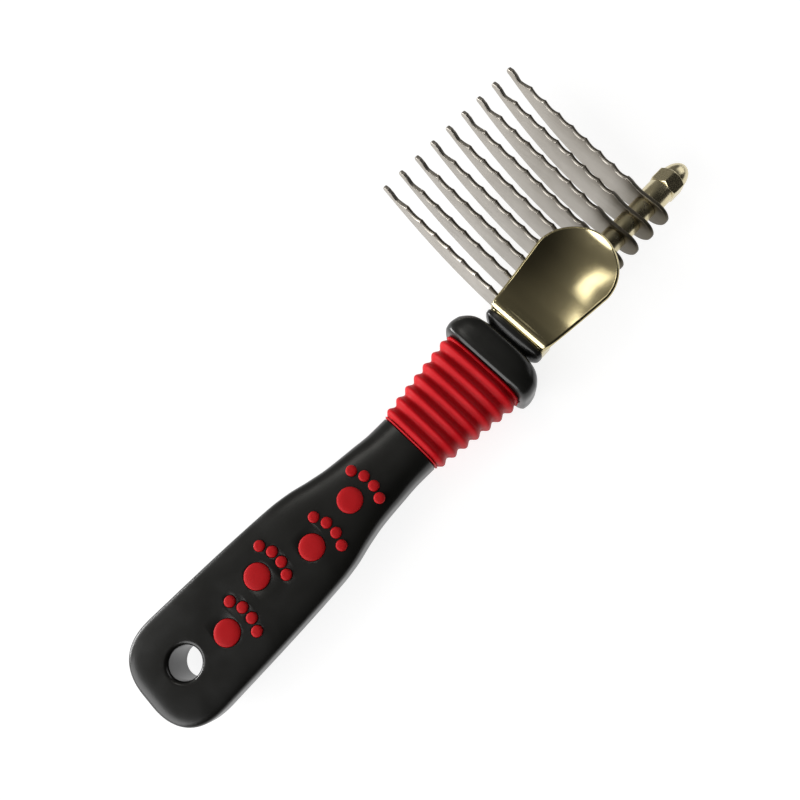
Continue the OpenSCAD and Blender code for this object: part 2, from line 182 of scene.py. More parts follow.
class Effects:
    """Shader node groups for the surface effects that several finishes share."""

    def __init__(self) -> None:
        """Builds every group once."""
        self.grain = self._grain()
        self.lines = self._lines()
        self.smudge = self._smudge()
        self.specks = self._specks()

    def _start(self, name: str) -> tuple[NodeTree, bpy.types.Node, bpy.types.Node]:
        """Starts a shader group and gives its tree, input node and output node."""
        nt = NodeTree(bpy.data.node_groups.new(name, "ShaderNodeTree"))
        return nt, nt.add("NodeGroupInput"), nt.add("NodeGroupOutput")

    def _grain(self) -> bpy.types.NodeTree:
        """Fine moulded texture: a pebbled height and a slow change of tone.

        Returns:
            The group, with inputs Scale and Pebble, and outputs Height and Tone.
        """
        nt, inp, out = self._start("Moulded Grain")
        nt.socket_in("Scale", FLOAT, 2500.0)
        nt.socket_in("Pebble", FLOAT, 0.5)
        nt.socket_out("Height", FLOAT)
        nt.socket_out("Tone", FLOAT)
        place = nt.add("ShaderNodeTexCoord").outputs["Object"]
        fine = nt.add("ShaderNodeTexNoise")
        nt.feed(fine.inputs["Vector"], place)
        nt.feed(fine.inputs["Scale"], inp.outputs["Scale"])
        nt.feed(fine.inputs["Detail"], 3.0)
        cells = nt.add("ShaderNodeTexVoronoi", feature="SMOOTH_F1")
        nt.feed(cells.inputs["Vector"], place)
        nt.feed(cells.inputs["Scale"], inp.outputs["Scale"])
        mixed = nt.add("ShaderNodeMix", data_type="FLOAT")
        nt.feed(mixed.inputs["Factor"], inp.outputs["Pebble"])
        nt.feed(mixed.inputs["A"], fine.outputs["Fac"])
        nt.feed(mixed.inputs["B"], cells.outputs["Distance"])
        slow = nt.add("ShaderNodeTexNoise")
        nt.feed(slow.inputs["Vector"], place)
        nt.feed(slow.inputs["Scale"], nt.maths("MULTIPLY", inp.outputs["Scale"], 0.03))
        nt.feed(slow.inputs["Detail"], 4.0)
        nt.feed(out.inputs["Height"], mixed.outputs["Result"])
        nt.feed(out.inputs["Tone"], slow.outputs["Fac"])
        return nt.tree

    def _lines(self) -> bpy.types.NodeTree:
        """Fine parallel lines left by grinding or turning.

        Returns:
            The group, with inputs Scale and Squeeze (how much each axis is stretched),
            and output Lines.
        """
        nt, inp, out = self._start("Ground Lines")
        nt.socket_in("Scale", FLOAT, 3000.0)
        nt.socket_in("Squeeze", VECTOR, (1.0, 0.02, 1.0))
        nt.socket_out("Lines", FLOAT)
        place = nt.add("ShaderNodeTexCoord").outputs["Object"]
        squeezed = nt.maths("MULTIPLY", place, inp.outputs["Squeeze"], kind="ShaderNodeVectorMath")
        coarse = nt.add("ShaderNodeTexNoise")
        nt.feed(coarse.inputs["Vector"], squeezed)
        nt.feed(coarse.inputs["Scale"], inp.outputs["Scale"])
        nt.feed(coarse.inputs["Detail"], 5.0)
        nt.feed(coarse.inputs["Roughness"], 0.7)
        nt.feed(out.inputs["Lines"], coarse.outputs["Fac"])
        return nt.tree

    def _smudge(self) -> bpy.types.NodeTree:
        """Slow patches where a polished surface has been handled.

        Returns:
            The group, with input Scale and output Mask.
        """
        nt, inp, out = self._start("Handling Smudges")
        nt.socket_in("Scale", FLOAT, 120.0)
        nt.socket_out("Mask", FLOAT)
        place = nt.add("ShaderNodeTexCoord").outputs["Object"]
        cloud = nt.add("ShaderNodeTexNoise")
        nt.feed(cloud.inputs["Vector"], place)
        nt.feed(cloud.inputs["Scale"], inp.outputs["Scale"])
        nt.feed(cloud.inputs["Detail"], 6.0)
        nt.feed(cloud.inputs["Distortion"], 0.6)
        spread = nt.add("ShaderNodeMapRange")
        nt.feed(spread.inputs["Value"], cloud.outputs["Fac"])
        nt.feed(spread.inputs["From Min"], 0.42)
        nt.feed(spread.inputs["From Max"], 0.68)
        nt.feed(out.inputs["Mask"], spread.outputs["Result"])
        return nt.tree

    def _specks(self) -> bpy.types.NodeTree:
        """Scattered pinpoint specks of dust and casting pits.

        Returns:
            The group, with inputs Scale and Size, and output Mask.
        """
        nt, inp, out = self._start("Pinpoint Specks")
        nt.socket_in("Scale", FLOAT, 400.0)
        nt.socket_in("Size", FLOAT, 0.06)
        nt.socket_out("Mask", FLOAT)
        place = nt.add("ShaderNodeTexCoord").outputs["Object"]
        cells = nt.add("ShaderNodeTexVoronoi")
        nt.feed(cells.inputs["Vector"], place)
        nt.feed(cells.inputs["Scale"], inp.outputs["Scale"])
        ratio = nt.maths("DIVIDE", cells.outputs["Distance"], inp.outputs["Size"])
        near = nt.maths("SUBTRACT", 1.0, ratio)
        chosen = nt.maths("GREATER_THAN", cells.outputs["Color"], 0.6)
        held = nt.maths("MAXIMUM", near, 0.0)
        nt.feed(out.inputs["Mask"], nt.maths("MULTIPLY", held, chosen))
        return nt.tree


# ---------------------------------------------------------------- finishes


class Shading:
    """One material being built: its node tree and its Principled shader."""

    def __init__(self, name: str) -> None:
        """Makes an empty material with a Principled shader.

        Args:
            name: the material's name.
        """
        self.material = bpy.data.materials.new(name)
        self.material.use_nodes = True
        self.nt = NodeTree(self.material.node_tree)
        self.shader = next(n for n in self.material.node_tree.nodes if n.type == "BSDF_PRINCIPLED")

    def put(self, **values: object) -> None:
        """Sets the shader's own sockets, with underscores standing for spaces."""
        for name, value in values.items():
            self.shader.inputs[name.replace("_", " ")].default_value = value

    def group(self, tree: bpy.types.NodeTree, **values: object) -> bpy.types.Node:
        """Places a shared effect group with this material's own values."""
        node = self.nt.add("ShaderNodeGroup", node_tree=tree)
        for name, value in values.items():
            self.nt.feed(node.inputs[name], value)
        return node

    def colour(self, mask: bpy.types.NodeSocket, low: Colour | bpy.types.NodeSocket,
               high: Colour | bpy.types.NodeSocket) -> bpy.types.NodeSocket:
        """Mixes two colours, or two sockets, by a mask and returns the result's socket."""
        mix = self.nt.add("ShaderNodeMix", data_type="RGBA")
        sockets = {s.identifier: s for s in mix.inputs}
        self.nt.feed(sockets["Factor_Float"], mask)
        for name, source in (("A_Color", low), ("B_Color", high)):
            self.nt.feed(sockets[name], (*source, 1.0) if isinstance(source, tuple) else source)
        return next(s for s in mix.outputs if s.identifier == "Result_Color")

    def axis(self, name: str) -> bpy.types.NodeSocket:
        """Returns one of the object coordinates, in metres."""
        parts = self.nt.add("ShaderNodeSeparateXYZ")
        self.nt.feed(parts.inputs[0], self.nt.add("ShaderNodeTexCoord").outputs["Object"])
        return parts.outputs[name]

    def spread(self, mask: bpy.types.NodeSocket, low: float, high: float,
               start: float = 0.0, end: float = 1.0) -> bpy.types.NodeSocket:
        """Maps a mask from start..end to low..high and returns the result's socket."""
        node = self.nt.add("ShaderNodeMapRange")
        for name, value in (("Value", mask), ("From Min", start), ("From Max", end),
                            ("To Min", low), ("To Max", high)):
            self.nt.feed(node.inputs[name], value)
        return node.outputs["Result"]

    def bump(self, height: bpy.types.NodeSocket, strength: float, distance: float) -> None:
        """Feeds a height to the shader's normal through a Bump node."""
        node = self.nt.add("ShaderNodeBump")
        self.nt.feed(node.inputs["Strength"], strength)
        self.nt.feed(node.inputs["Distance"], distance)
        self.nt.feed(node.inputs["Height"], height)
        self.nt.feed(self.shader.inputs["Normal"], node.outputs["Normal"])

    def drive(self, name: str, source: bpy.types.NodeSocket) -> None:
        """Links a source to one of the shader's inputs."""
        self.nt.feed(self.shader.inputs[name], source)


@dataclass(frozen=True)
class Finish:
    """A surface finish: its name and its main colour and roughness."""

    name: str
    colour: Colour
    shade: Colour
    roughness: float
    roughness_change: float

    def build(self, effects: Effects) -> bpy.types.Material:
        """Builds the material; each kind of finish has its own."""
        raise NotImplementedError


@dataclass(frozen=True)
class MouldedPlastic(Finish):
    """Satin injection-moulded plastic with a fine spark-eroded grain."""

    grain_scale: float = 2600.0
    grain_strength: float = 0.12
    clear: float = 0.0

    def build(self, effects: Effects) -> bpy.types.Material:
        """Builds the plastic.

        Args:
            effects: the shared shader groups.

        Returns:
            The material.
        """
        s = Shading(self.name)
        grain = s.group(effects.grain, Scale=self.grain_scale, Pebble=0.35)
        smudge = s.group(effects.smudge, Scale=90.0)
        s.drive("Base Color", s.colour(grain.outputs["Tone"], self.shade, self.colour))
        s.drive("Roughness", s.spread(smudge.outputs["Mask"], self.roughness,
                                      self.roughness + self.roughness_change))
        s.put(Specular_IOR_Level=0.5, Coat_Weight=self.clear, Coat_Roughness=0.18)
        s.bump(grain.outputs["Height"], self.grain_strength, 0.05 * MM)
        return s.material


@dataclass(frozen=True)
class SoftRubber(Finish):
    """Matte thermoplastic rubber, slightly rougher where it has been rubbed."""

    grain_scale: float = 3500.0
    sheen: float = 0.0

    def build(self, effects: Effects) -> bpy.types.Material:
        """Builds the rubber.

        Args:
            effects: the shared shader groups.

        Returns:
            The material.
        """
        s = Shading(self.name)
        grain = s.group(effects.grain, Scale=self.grain_scale, Pebble=0.6)
        smudge = s.group(effects.smudge, Scale=200.0)
        s.drive("Base Color", s.colour(grain.outputs["Tone"], self.shade, self.colour))
        s.drive("Roughness", s.spread(smudge.outputs["Mask"], self.roughness,
                                      self.roughness + self.roughness_change))
        s.put(Specular_IOR_Level=0.12, Sheen_Weight=self.sheen, Sheen_Roughness=0.4,
              Subsurface_Weight=0.08,
              Subsurface_Scale=0.6 * MM)
        s.shader.inputs["Subsurface Radius"].default_value = (1.0, 0.25, 0.2)
        s.bump(grain.outputs["Height"], 0.18, 0.06 * MM)
        return s.material


@dataclass(frozen=True)
class PolishedMetal(Finish):
    """Buffed plated metal with faint polishing lines, smudges and a few specks."""

    line_squeeze: Point = (1.0, 0.05, 1.0)
    line_strength: float = 0.04
    speck_size: float = 0.05

    def build(self, effects: Effects) -> bpy.types.Material:
        """Builds the metal.

        Args:
            effects: the shared shader groups.

        Returns:
            The material.
        """
        s = Shading(self.name)
        lines = s.group(effects.lines, Scale=1800.0, Squeeze=self.line_squeeze)
        smudge = s.group(effects.smudge, Scale=140.0)
        specks = s.group(effects.specks, Scale=260.0, Size=self.speck_size)
        tone = s.nt.maths("MAXIMUM", s.nt.maths("MULTIPLY", smudge.outputs["Mask"], 0.6),
                          specks.outputs["Mask"])
        s.drive("Base Color", s.colour(tone, self.colour, self.shade))
        rough = s.spread(smudge.outputs["Mask"], self.roughness,
                         self.roughness + self.roughness_change)
        s.drive("Roughness", s.nt.maths("ADD", rough,
                                        s.nt.maths("MULTIPLY", specks.outputs["Mask"], 0.4)))
        s.put(Metallic=1.0)
        s.bump(lines.outputs["Lines"], self.line_strength, 0.02 * MM)
        return s.material


@dataclass(frozen=True)
class GroundSteel(Finish):
    """Satin stainless sheet, ground lengthwise, with painted shade darkening the edges and the roots."""

    line_squeeze: Point = (1.0, 0.02, 1.0)
    line_strength: float = 0.12
    # colour of the painted shade on the blade rims
    edge_shade_colour: Colour = (0.08, 0.07, 0.055)
    # colour of the painted shade at the blade roots, and how much of it they get
    root_shade_colour: Colour = (0.085, 0.072, 0.045)
    root_shade_share: float = 0.0

    def build(self, effects: Effects) -> bpy.types.Material:
        """Builds the steel.

        Args:
            effects: the shared shader groups.

        Returns:
            The material.
        """
        s = Shading(self.name)
        lines = s.group(effects.lines, Scale=2600.0, Squeeze=self.line_squeeze)
        smudge = s.group(effects.smudge, Scale=110.0)
        edge = s.nt.add("ShaderNodeAttribute", attribute_name="edge")
        tone = s.nt.maths("MULTIPLY", lines.outputs["Lines"], smudge.outputs["Mask"])
        body = s.colour(tone, self.colour, self.shade)
        # Painted shade: the blade darkens towards the root colour near the shaft, fully below y -2 mm and
        # fading out by y 12 mm.
        root = s.spread(s.axis("Y"), self.root_shade_share, 0.0, -2.0 * MM, 12.0 * MM)
        root_shaded = s.colour(root, body, self.root_shade_colour)
        # Painted shade: the rims darken towards the edge colour as the edge attribute rises.
        s.drive("Base Color", s.colour(edge.outputs["Fac"], root_shaded, self.edge_shade_colour))
        rough = s.spread(lines.outputs["Lines"], self.roughness,
                         self.roughness + self.roughness_change, 0.3, 0.7)
        s.drive("Roughness", s.nt.maths("ADD", rough,
                                        s.nt.maths("MULTIPLY", edge.outputs["Fac"], 0.3)))
        s.put(Metallic=1.0)
        s.bump(lines.outputs["Lines"], self.line_strength, 0.02 * MM)
        return s.material


FINISHES: dict[Slot, Finish] = {
    Slot.HANDLE: MouldedPlastic("black_satin_plastic", (0.0080, 0.0080, 0.0070),
                                (0.0045, 0.0045, 0.004), 0.28, 0.08),
    Slot.GRIP: SoftRubber("red_grip_rubber", (0.52, 0.003, 0.009), (0.44, 0.002, 0.006),
                          0.46, 0.10),
    Slot.PAW: SoftRubber("red_inlay_rubber", (0.53, 0.012, 0.016), (0.46, 0.008, 0.011),
                         0.44, 0.10),
    Slot.HEAD: PolishedMetal("pale_gold_casting", (0.60, 0.525, 0.31), (0.49, 0.42, 0.24),
                             0.16, 0.05),
    Slot.FITTINGS: PolishedMetal("pale_gold_plating", (0.70, 0.62, 0.41), (0.56, 0.50, 0.31),
                                 0.24, 0.08, line_squeeze=(1.0, 0.1, 0.1), line_strength=0.08),
    Slot.SHAFT: GroundSteel("turned_steel", (0.56, 0.55, 0.52), (0.42, 0.41, 0.38), 0.28, 0.10,
                            line_squeeze=(1.0, 0.1, 0.1)),
    # the blade steel carries painted shade at its roots and rims
    Slot.BLADE: GroundSteel("satin_blade_steel", (0.46, 0.43, 0.385), (0.36, 0.33, 0.285),
                            0.30, 0.14, root_shade_share=0.9),
}


# ---------------------------------------------------------------- mesh helpers


def metres(points: Iterable[Sequence[float]]) -> list[Vector]:
    """Turns points in millimetres into vectors in metres."""
    return [Vector(p) * MM for p in points]


def signed_power(value: float, squareness: float) -> float:
    """Raises a sine or cosine to the power that squares off a superellipse."""
    return math.copysign(abs(value) ** (2.0 / squareness), value)


def section(x: float, half: float, top: float, bottom: float, widest: float,
            front_square: float, back_square: float, points: int) -> Ring:
    """Gives a rounded section across the handle.

    Args:
        x: distance along the handle.
        half: half width.
        top: height of the front face.
        bottom: height of the back, below zero.
        widest: height at which the section is widest.
        front_square: squareness of the front.
        back_square: squareness of the back.
        points: number of points.

    Returns:
        The ring of points.
    """
    ring = []
    for i in range(points):
        angle = 2 * math.pi * (i + 0.5) / points
        front = math.sin(angle) > 0
        square = front_square if front else back_square
        rise = (top - widest) if front else (widest - bottom)
        ring.append((x, half * signed_power(math.cos(angle), square),
                     widest + rise * signed_power(math.sin(angle), square)))
    return ring


def smooth_row(table: Sequence[Sequence[float]], x: float) -> list[float]:
    """Reads a table of stations at x with a monotone cubic through each column.

    Args:
        table: rows that start with their distance along the handle, in order.
        x: the distance to read at.

    Returns:
        The row at x, whose first value is x.
    """
    last = len(table) - 1
    i = min(max(0, next((k for k in range(last) if x <= table[k + 1][0]), last - 1)), last - 1)
    low, high = table[i], table[i + 1]
    width = high[0] - low[0]
    u = min(1.0, max(0.0, (x - low[0]) / width))
    row = [x]
    for c in range(1, len(low)):
        slope = (high[c] - low[c]) / width
        ends = []
        for k in (i, i + 1):
            if k in (0, last):
                ends.append(slope)
                continue
            before = (table[k][c] - table[k - 1][c]) / (table[k][0] - table[k - 1][0])
            after = (table[k + 1][c] - table[k][c]) / (table[k + 1][0] - table[k][0])
            ends.append(0.0 if before * after <= 0 else 2 * before * after / (before + after))
        row.append((2 * u ** 3 - 3 * u ** 2 + 1) * low[c] + (u ** 3 - 2 * u ** 2 + u) * width * ends[0]
                   + (3 * u ** 2 - 2 * u ** 3) * high[c] + (u ** 3 - u ** 2) * width * ends[1])
    return row


def steps(start: float, end: float, count: int) -> list[float]:
    """Gives count + 1 evenly spaced values from start to end."""
    return [start + (end - start) * i / count for i in range(count + 1)]


class MeshPiece:
    """A mesh being built in millimetres, which becomes one object of the comb."""

    def __init__(self, name: str) -> None:
        """Starts an empty mesh.

        Args:
            name: the object's name.
        """
        self.name = name
        self.bm = bmesh.new()

    def loft(self, rings: Sequence[Ring], looped: bool = False) -> list[list[bmesh.types.BMVert]]:
        """Skins rings of equal length, capped at both ends unless looped.

        Args:
            rings: closed rings of points, in order.
            looped: whether the last ring joins the first.

        Returns:
            The vertices of each ring.
        """
        rows = [[self.bm.verts.new(p) for p in metres(ring)] for ring in rings]
        count = len(rows[0])
        pairs = list(zip(rows, rows[1:] + (rows[:1] if looped else [])))
        for a, b in pairs:
            for i in range(count):
                j = (i + 1) % count
                self.bm.faces.new((a[i], a[j], b[j], b[i]))
        if not looped:
            self.bm.faces.new(rows[0][::-1])
            self.bm.faces.new(rows[-1])
        return rows

    def revolve(self, profile: Sequence[tuple[float, float]], turns: int = 64,
                axis: str = "X", centre: Point = (0, 0, 0)) -> None:
        """Turns a closed half profile about an axis.

        Args:
            profile: (along, radius) points; the first and last lie on the axis.
            turns: number of segments round.
            axis: the axis of revolution, X or Z.
            centre: the point that the profile's zero stands for.
        """
        def place(along: float, radius: float, angle: float) -> Vector:
            """Puts a profile point at an angle round the axis, in metres."""
            c, s = radius * math.cos(angle), radius * math.sin(angle)
            local = (along, c, s) if axis == "X" else (c, s, along)
            return (Vector(local) + Vector(centre)) * MM

        start = self.bm.verts.new(place(*profile[0], 0))
        end = self.bm.verts.new(place(*profile[-1], 0))
        rows = [[self.bm.verts.new(place(*p, 2 * math.pi * i / turns)) for i in range(turns)]
                for p in profile[1:-1]]
        for i in range(turns):
            j = (i + 1) % turns
            self.bm.faces.new((start, rows[0][j], rows[0][i]))
            for a, b in zip(rows, rows[1:]):
                self.bm.faces.new((a[i], a[j], b[j], b[i]))
            self.bm.faces.new((end, rows[-1][i], rows[-1][j]))

    def finish(self, sharp: float = 35.0) -> bpy.types.Object:
        """Closes the mesh and makes its object, with normals outward.

        Args:
            sharp: edges that turn by more than this, in degrees, are shaded sharp.

        Returns:
            The new object.
        """
        bmesh.ops.remove_doubles(self.bm, verts=self.bm.verts, dist=1e-7)
        bmesh.ops.recalc_face_normals(self.bm, faces=self.bm.faces)
        mesh = bpy.data.meshes.new(self.name)
        self.bm.to_mesh(mesh)
        self.bm.free()
        obj = bpy.data.objects.new(self.name, mesh)
        bpy.context.collection.objects.link(obj)
        shade(obj, sharp)
        return obj


def shade(obj: bpy.types.Object, sharp: float) -> None:
    """Shades a mesh smooth, with edges sharper than an angle in degrees kept sharp."""
    obj.data.polygons.foreach_set("use_smooth", [True] * len(obj.data.polygons))
    obj.data.set_sharp_from_angle(angle=math.radians(sharp))
    obj.data.update()


def baked(obj: bpy.types.Object, name: Optional[str] = None) -> bpy.types.Object:
    """Turns an object with modifiers into a plain mesh object.

    Args:
        obj: the object, whose modifiers are evaluated.
        name: the new object's name, or None to keep the old one's.

    Returns:
        A new object with no modifiers; the old one is removed.
    """
    graph = bpy.context.evaluated_depsgraph_get()
    mesh = bpy.data.meshes.new_from_object(obj.evaluated_get(graph))
    keep = name or obj.name
    bpy.data.objects.remove(obj)
    plain = bpy.data.objects.new(keep, mesh)
    mesh.name = keep
    bpy.context.collection.objects.link(plain)
    return plain


def modified(obj: bpy.types.Object, kind: str, **settings: object) -> bpy.types.Object:
    """Applies one modifier to an object and returns the result as a plain object."""
    modifier = obj.modifiers.new(kind.lower(), kind)
    for name, value in settings.items():
        setattr(modifier, name, value)
    return baked(obj)


def carve(obj: bpy.types.Object, tool: bpy.types.Object, operation: str = "DIFFERENCE") -> bpy.types.Object:
    """Applies an exact boolean with a tool, which is used up.

    Args:
        obj: the piece.
        tool: the cutting or joining shape.
        operation: the boolean's operation.

    Returns:
        The changed piece.
    """
    result = modified(obj, "BOOLEAN", operation=operation, object=tool, solver="EXACT")
    bpy.data.objects.remove(tool)
    return result


class Workshop:
    """Dresses finished pieces and ties them to the frame."""

    def __init__(self) -> None:
        """Builds the shared effects and every material."""
        effects = Effects()
        self.materials = {slot: finish.build(effects) for slot, finish in FINISHES.items()}

    def deliver(self, obj: bpy.types.Object, slot: Slot, body: str, *nodes: str) -> None:
        """Gives a piece its material and its place in the frame.

        Args:
            obj: the piece.
            slot: the record's material slot.
            body: the body that it rides on.
            *nodes: the CAD nodes that it replaces.
        """
        obj.data.materials.clear()
        obj.data.materials.append(self.materials[slot])
        for polygon in obj.data.polygons:
            polygon.material_index = 0
        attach(obj, body)
        if nodes:
            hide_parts(*nodes)
        LOG.info("%s: %d faces on %s", obj.name, len(obj.data.polygons), body)


# ---------------------------------------------------------------- geometry trees


class GeometryTree(NodeTree):
    """A Geometry Nodes tree with named inputs, which ends in Realize and Set Material."""

    def __init__(self, name: str, inputs: dict[str, tuple[str, object]]) -> None:
        """Starts the tree.

        Args:
            name: the tree's name.
            inputs: each input's name, with its socket type and default value.
        """
        super().__init__(bpy.data.node_groups.new(name, "GeometryNodeTree"))
        self.tree.is_modifier = True
        self.socket_in("Geometry", GEOMETRY)
        self.ids = {key: self.socket_in(key, kind, value) for key, (kind, value) in inputs.items()}
        self.ids["Finish"] = self.socket_in("Finish", "NodeSocketMaterial")
        self.socket_out("Geometry", GEOMETRY)
        self.start = self.add("NodeGroupInput")

    def value(self, name: str) -> bpy.types.NodeSocket:
        """Gives a named input's socket inside the tree."""
        return self.start.outputs[name]

    def close(self, geometry: bpy.types.NodeSocket) -> None:
        """Ends the tree in Realize Instances and Set Material."""
        real = self.add("GeometryNodeRealizeInstances")
        self.feed(real.inputs[0], geometry)
        dress = self.add("GeometryNodeSetMaterial")
        self.feed(dress.inputs["Geometry"], real.outputs[0])
        self.feed(dress.inputs["Material"], self.value("Finish"))
        out = self.add("NodeGroupOutput")
        self.feed(out.inputs[0], dress.outputs[0])

    def run(self, host: bpy.types.Object, **values: object) -> bpy.types.Object:
        """Runs the tree on a host object and returns the plain result."""
        modifier = host.modifiers.new("shape", "NODES")
        modifier.node_group = self.tree
        for key, value in values.items():
            modifier[self.ids[key]] = value
        return baked(host)


def rib_tree() -> GeometryTree:
    """Ribs pressed into a sleeve: each outer point sinks between the rib crests.

    Returns:
        The tree, whose inputs are the ribs' sizes in metres.
    """
    gt = GeometryTree("Grip Ribs", {
        "First": (FLOAT, 0.08), "Last": (FLOAT, 0.1), "Pitch": (FLOAT, 0.004),
        "Height": (FLOAT, 0.001), "Roundness": (FLOAT, 1.8), "Plain": (FLOAT, 0.25)})
    along = gt.add("ShaderNodeSeparateXYZ")
    gt.feed(along.inputs[0], gt.add("GeometryNodeInputPosition").outputs[0])
    x = along.outputs["X"]
    from_first = gt.maths("SUBTRACT", x, gt.value("First"))
    turn = gt.maths("MULTIPLY", gt.maths("DIVIDE", from_first, gt.value("Pitch")), math.pi)
    wave = gt.maths("POWER", gt.maths("ABSOLUTE", gt.maths("COSINE", turn)), gt.value("Roundness"))
    half = gt.maths("MULTIPLY", gt.value("Pitch"), 0.5)
    after = gt.maths("GREATER_THAN", x, gt.maths("SUBTRACT", gt.value("First"), half))
    before = gt.maths("LESS_THAN", x, gt.maths("ADD", gt.value("Last"), half))
    ribbed = gt.maths("MULTIPLY", after, before)
    level = gt.add("ShaderNodeMix", data_type="FLOAT")
    gt.feed(level.inputs["Factor"], ribbed)
    gt.feed(level.inputs["A"], gt.value("Plain"))
    gt.feed(level.inputs["B"], wave)
    sink = gt.maths("MULTIPLY", gt.maths("SUBTRACT", level.outputs["Result"], 1.0), gt.value("Height"))
    outer = gt.add("GeometryNodeInputNamedAttribute", data_type="FLOAT")
    gt.feed(outer.inputs["Name"], "outer")
    sunk = gt.maths("MULTIPLY", sink, outer.outputs["Attribute"])
    push = gt.add("ShaderNodeVectorMath", operation="SCALE")
    gt.feed(push.inputs[0], gt.add("GeometryNodeInputNormal").outputs[0])
    gt.feed(push.inputs["Scale"], sunk)
    move = gt.add("GeometryNodeSetPosition")
    gt.feed(move.inputs["Geometry"], gt.value("Geometry"))
    gt.feed(move.inputs["Offset"], push.outputs[0])
    gt.close(move.outputs[0])
    return gt


def inlay_tree() -> GeometryTree:
    """Domed inlays on the host's points, each as wide as the point's radius attribute.

    Returns:
        The tree, whose inputs are the heights above and below the points in metres.
    """
    gt = GeometryTree("Paw Inlays", {
        "Proud": (FLOAT, 0.0007), "Depth": (FLOAT, 0.0013), "Squareness": (FLOAT, 3.2)})
    ball = gt.add("GeometryNodeMeshUVSphere")
    gt.feed(ball.inputs["Segments"], 48)
    gt.feed(ball.inputs["Rings"], 36)
    gt.feed(ball.inputs["Radius"], 1.0)
    parts = gt.add("ShaderNodeSeparateXYZ")
    gt.feed(parts.inputs[0], gt.add("GeometryNodeInputPosition").outputs[0])
    flat = gt.maths("SUBTRACT", 1.0, gt.maths("MULTIPLY", parts.outputs["Z"], parts.outputs["Z"]))
    reach = gt.maths("SQRT", gt.maths("MAXIMUM", flat, 0.0))
    level = gt.maths("SUBTRACT", 1.0, gt.maths("POWER", reach, gt.value("Squareness")))
    root = gt.maths("DIVIDE", 1.0, gt.value("Squareness"))
    dome = gt.maths("POWER", gt.maths("MAXIMUM", level, 0.0), root)
    above = gt.maths("GREATER_THAN", parts.outputs["Z"], 0.0)
    scale = gt.add("ShaderNodeMix", data_type="FLOAT")
    gt.feed(scale.inputs["Factor"], above)
    gt.feed(scale.inputs["A"], gt.maths("MULTIPLY", gt.value("Depth"), -1.0))
    gt.feed(scale.inputs["B"], gt.value("Proud"))
    place = gt.add("ShaderNodeCombineXYZ")
    gt.feed(place.inputs["X"], parts.outputs["X"])
    gt.feed(place.inputs["Y"], parts.outputs["Y"])
    gt.feed(place.inputs["Z"], gt.maths("MULTIPLY", dome, scale.outputs["Result"]))
    shaped = gt.add("GeometryNodeSetPosition")
    gt.feed(shaped.inputs["Geometry"], ball.outputs["Mesh"])
    gt.feed(shaped.inputs["Position"], place.outputs[0])
    radius = gt.add("GeometryNodeInputNamedAttribute", data_type="FLOAT")
    gt.feed(radius.inputs["Name"], "radius")
    size = gt.add("ShaderNodeCombineXYZ")
    gt.feed(size.inputs["X"], radius.outputs["Attribute"])
    gt.feed(size.inputs["Y"], radius.outputs["Attribute"])
    gt.feed(size.inputs["Z"], 1.0)
    points = gt.add("GeometryNodeInstanceOnPoints")
    gt.feed(points.inputs["Points"], gt.value("Geometry"))
    gt.feed(points.inputs["Instance"], shaped.outputs[0])
    gt.feed(points.inputs["Scale"], size.outputs[0])
    gt.close(points.outputs[0])
    return gt


def tube_tree() -> GeometryTree:
    """A turned tube along X with rounded edges, for the spacers and the end collar.

    Returns:
        The tree, whose inputs are the tube's sizes in metres.
    """
    gt = GeometryTree("Turned Tube", {
        "Start": (FLOAT, 0.0), "Length": (FLOAT, 0.005), "Outer": (FLOAT, 0.0034),
        "Bore": (FLOAT, 0.00255), "Edge": (FLOAT, 0.0002)})
    wall = gt.maths("SUBTRACT", gt.value("Outer"), gt.value("Bore"))
    box = gt.add("GeometryNodeCurvePrimitiveQuadrilateral")
    gt.feed(box.inputs["Width"], wall)
    gt.feed(box.inputs["Height"], gt.value("Length"))
    round_off = gt.add("GeometryNodeFilletCurve", mode="POLY")
    gt.feed(round_off.inputs["Curve"], box.outputs[0])
    gt.feed(round_off.inputs["Count"], 5)
    gt.feed(round_off.inputs["Radius"], gt.value("Edge"))
    circle = gt.add("GeometryNodeCurvePrimitiveCircle")
    gt.feed(circle.inputs["Resolution"], 72)
    middle = gt.maths("MULTIPLY", gt.maths("ADD", gt.value("Outer"), gt.value("Bore")), 0.5)
    gt.feed(circle.inputs["Radius"], middle)
    sweep = gt.add("GeometryNodeCurveToMesh")
    gt.feed(sweep.inputs["Curve"], circle.outputs[0])
    gt.feed(sweep.inputs["Profile Curve"], round_off.outputs[0])
    centre = gt.maths("ADD", gt.value("Start"), gt.maths("MULTIPLY", gt.value("Length"), 0.5))
    place = gt.add("ShaderNodeCombineXYZ")
    gt.feed(place.inputs["X"], centre)
    lay = gt.add("GeometryNodeTransform")
    gt.feed(lay.inputs["Geometry"], sweep.outputs[0])
    gt.feed(lay.inputs["Translation"], place.outputs[0])
    gt.feed(lay.inputs["Rotation"], (0.0, math.pi / 2, 0.0))
    gt.close(lay.outputs[0])
    return gt


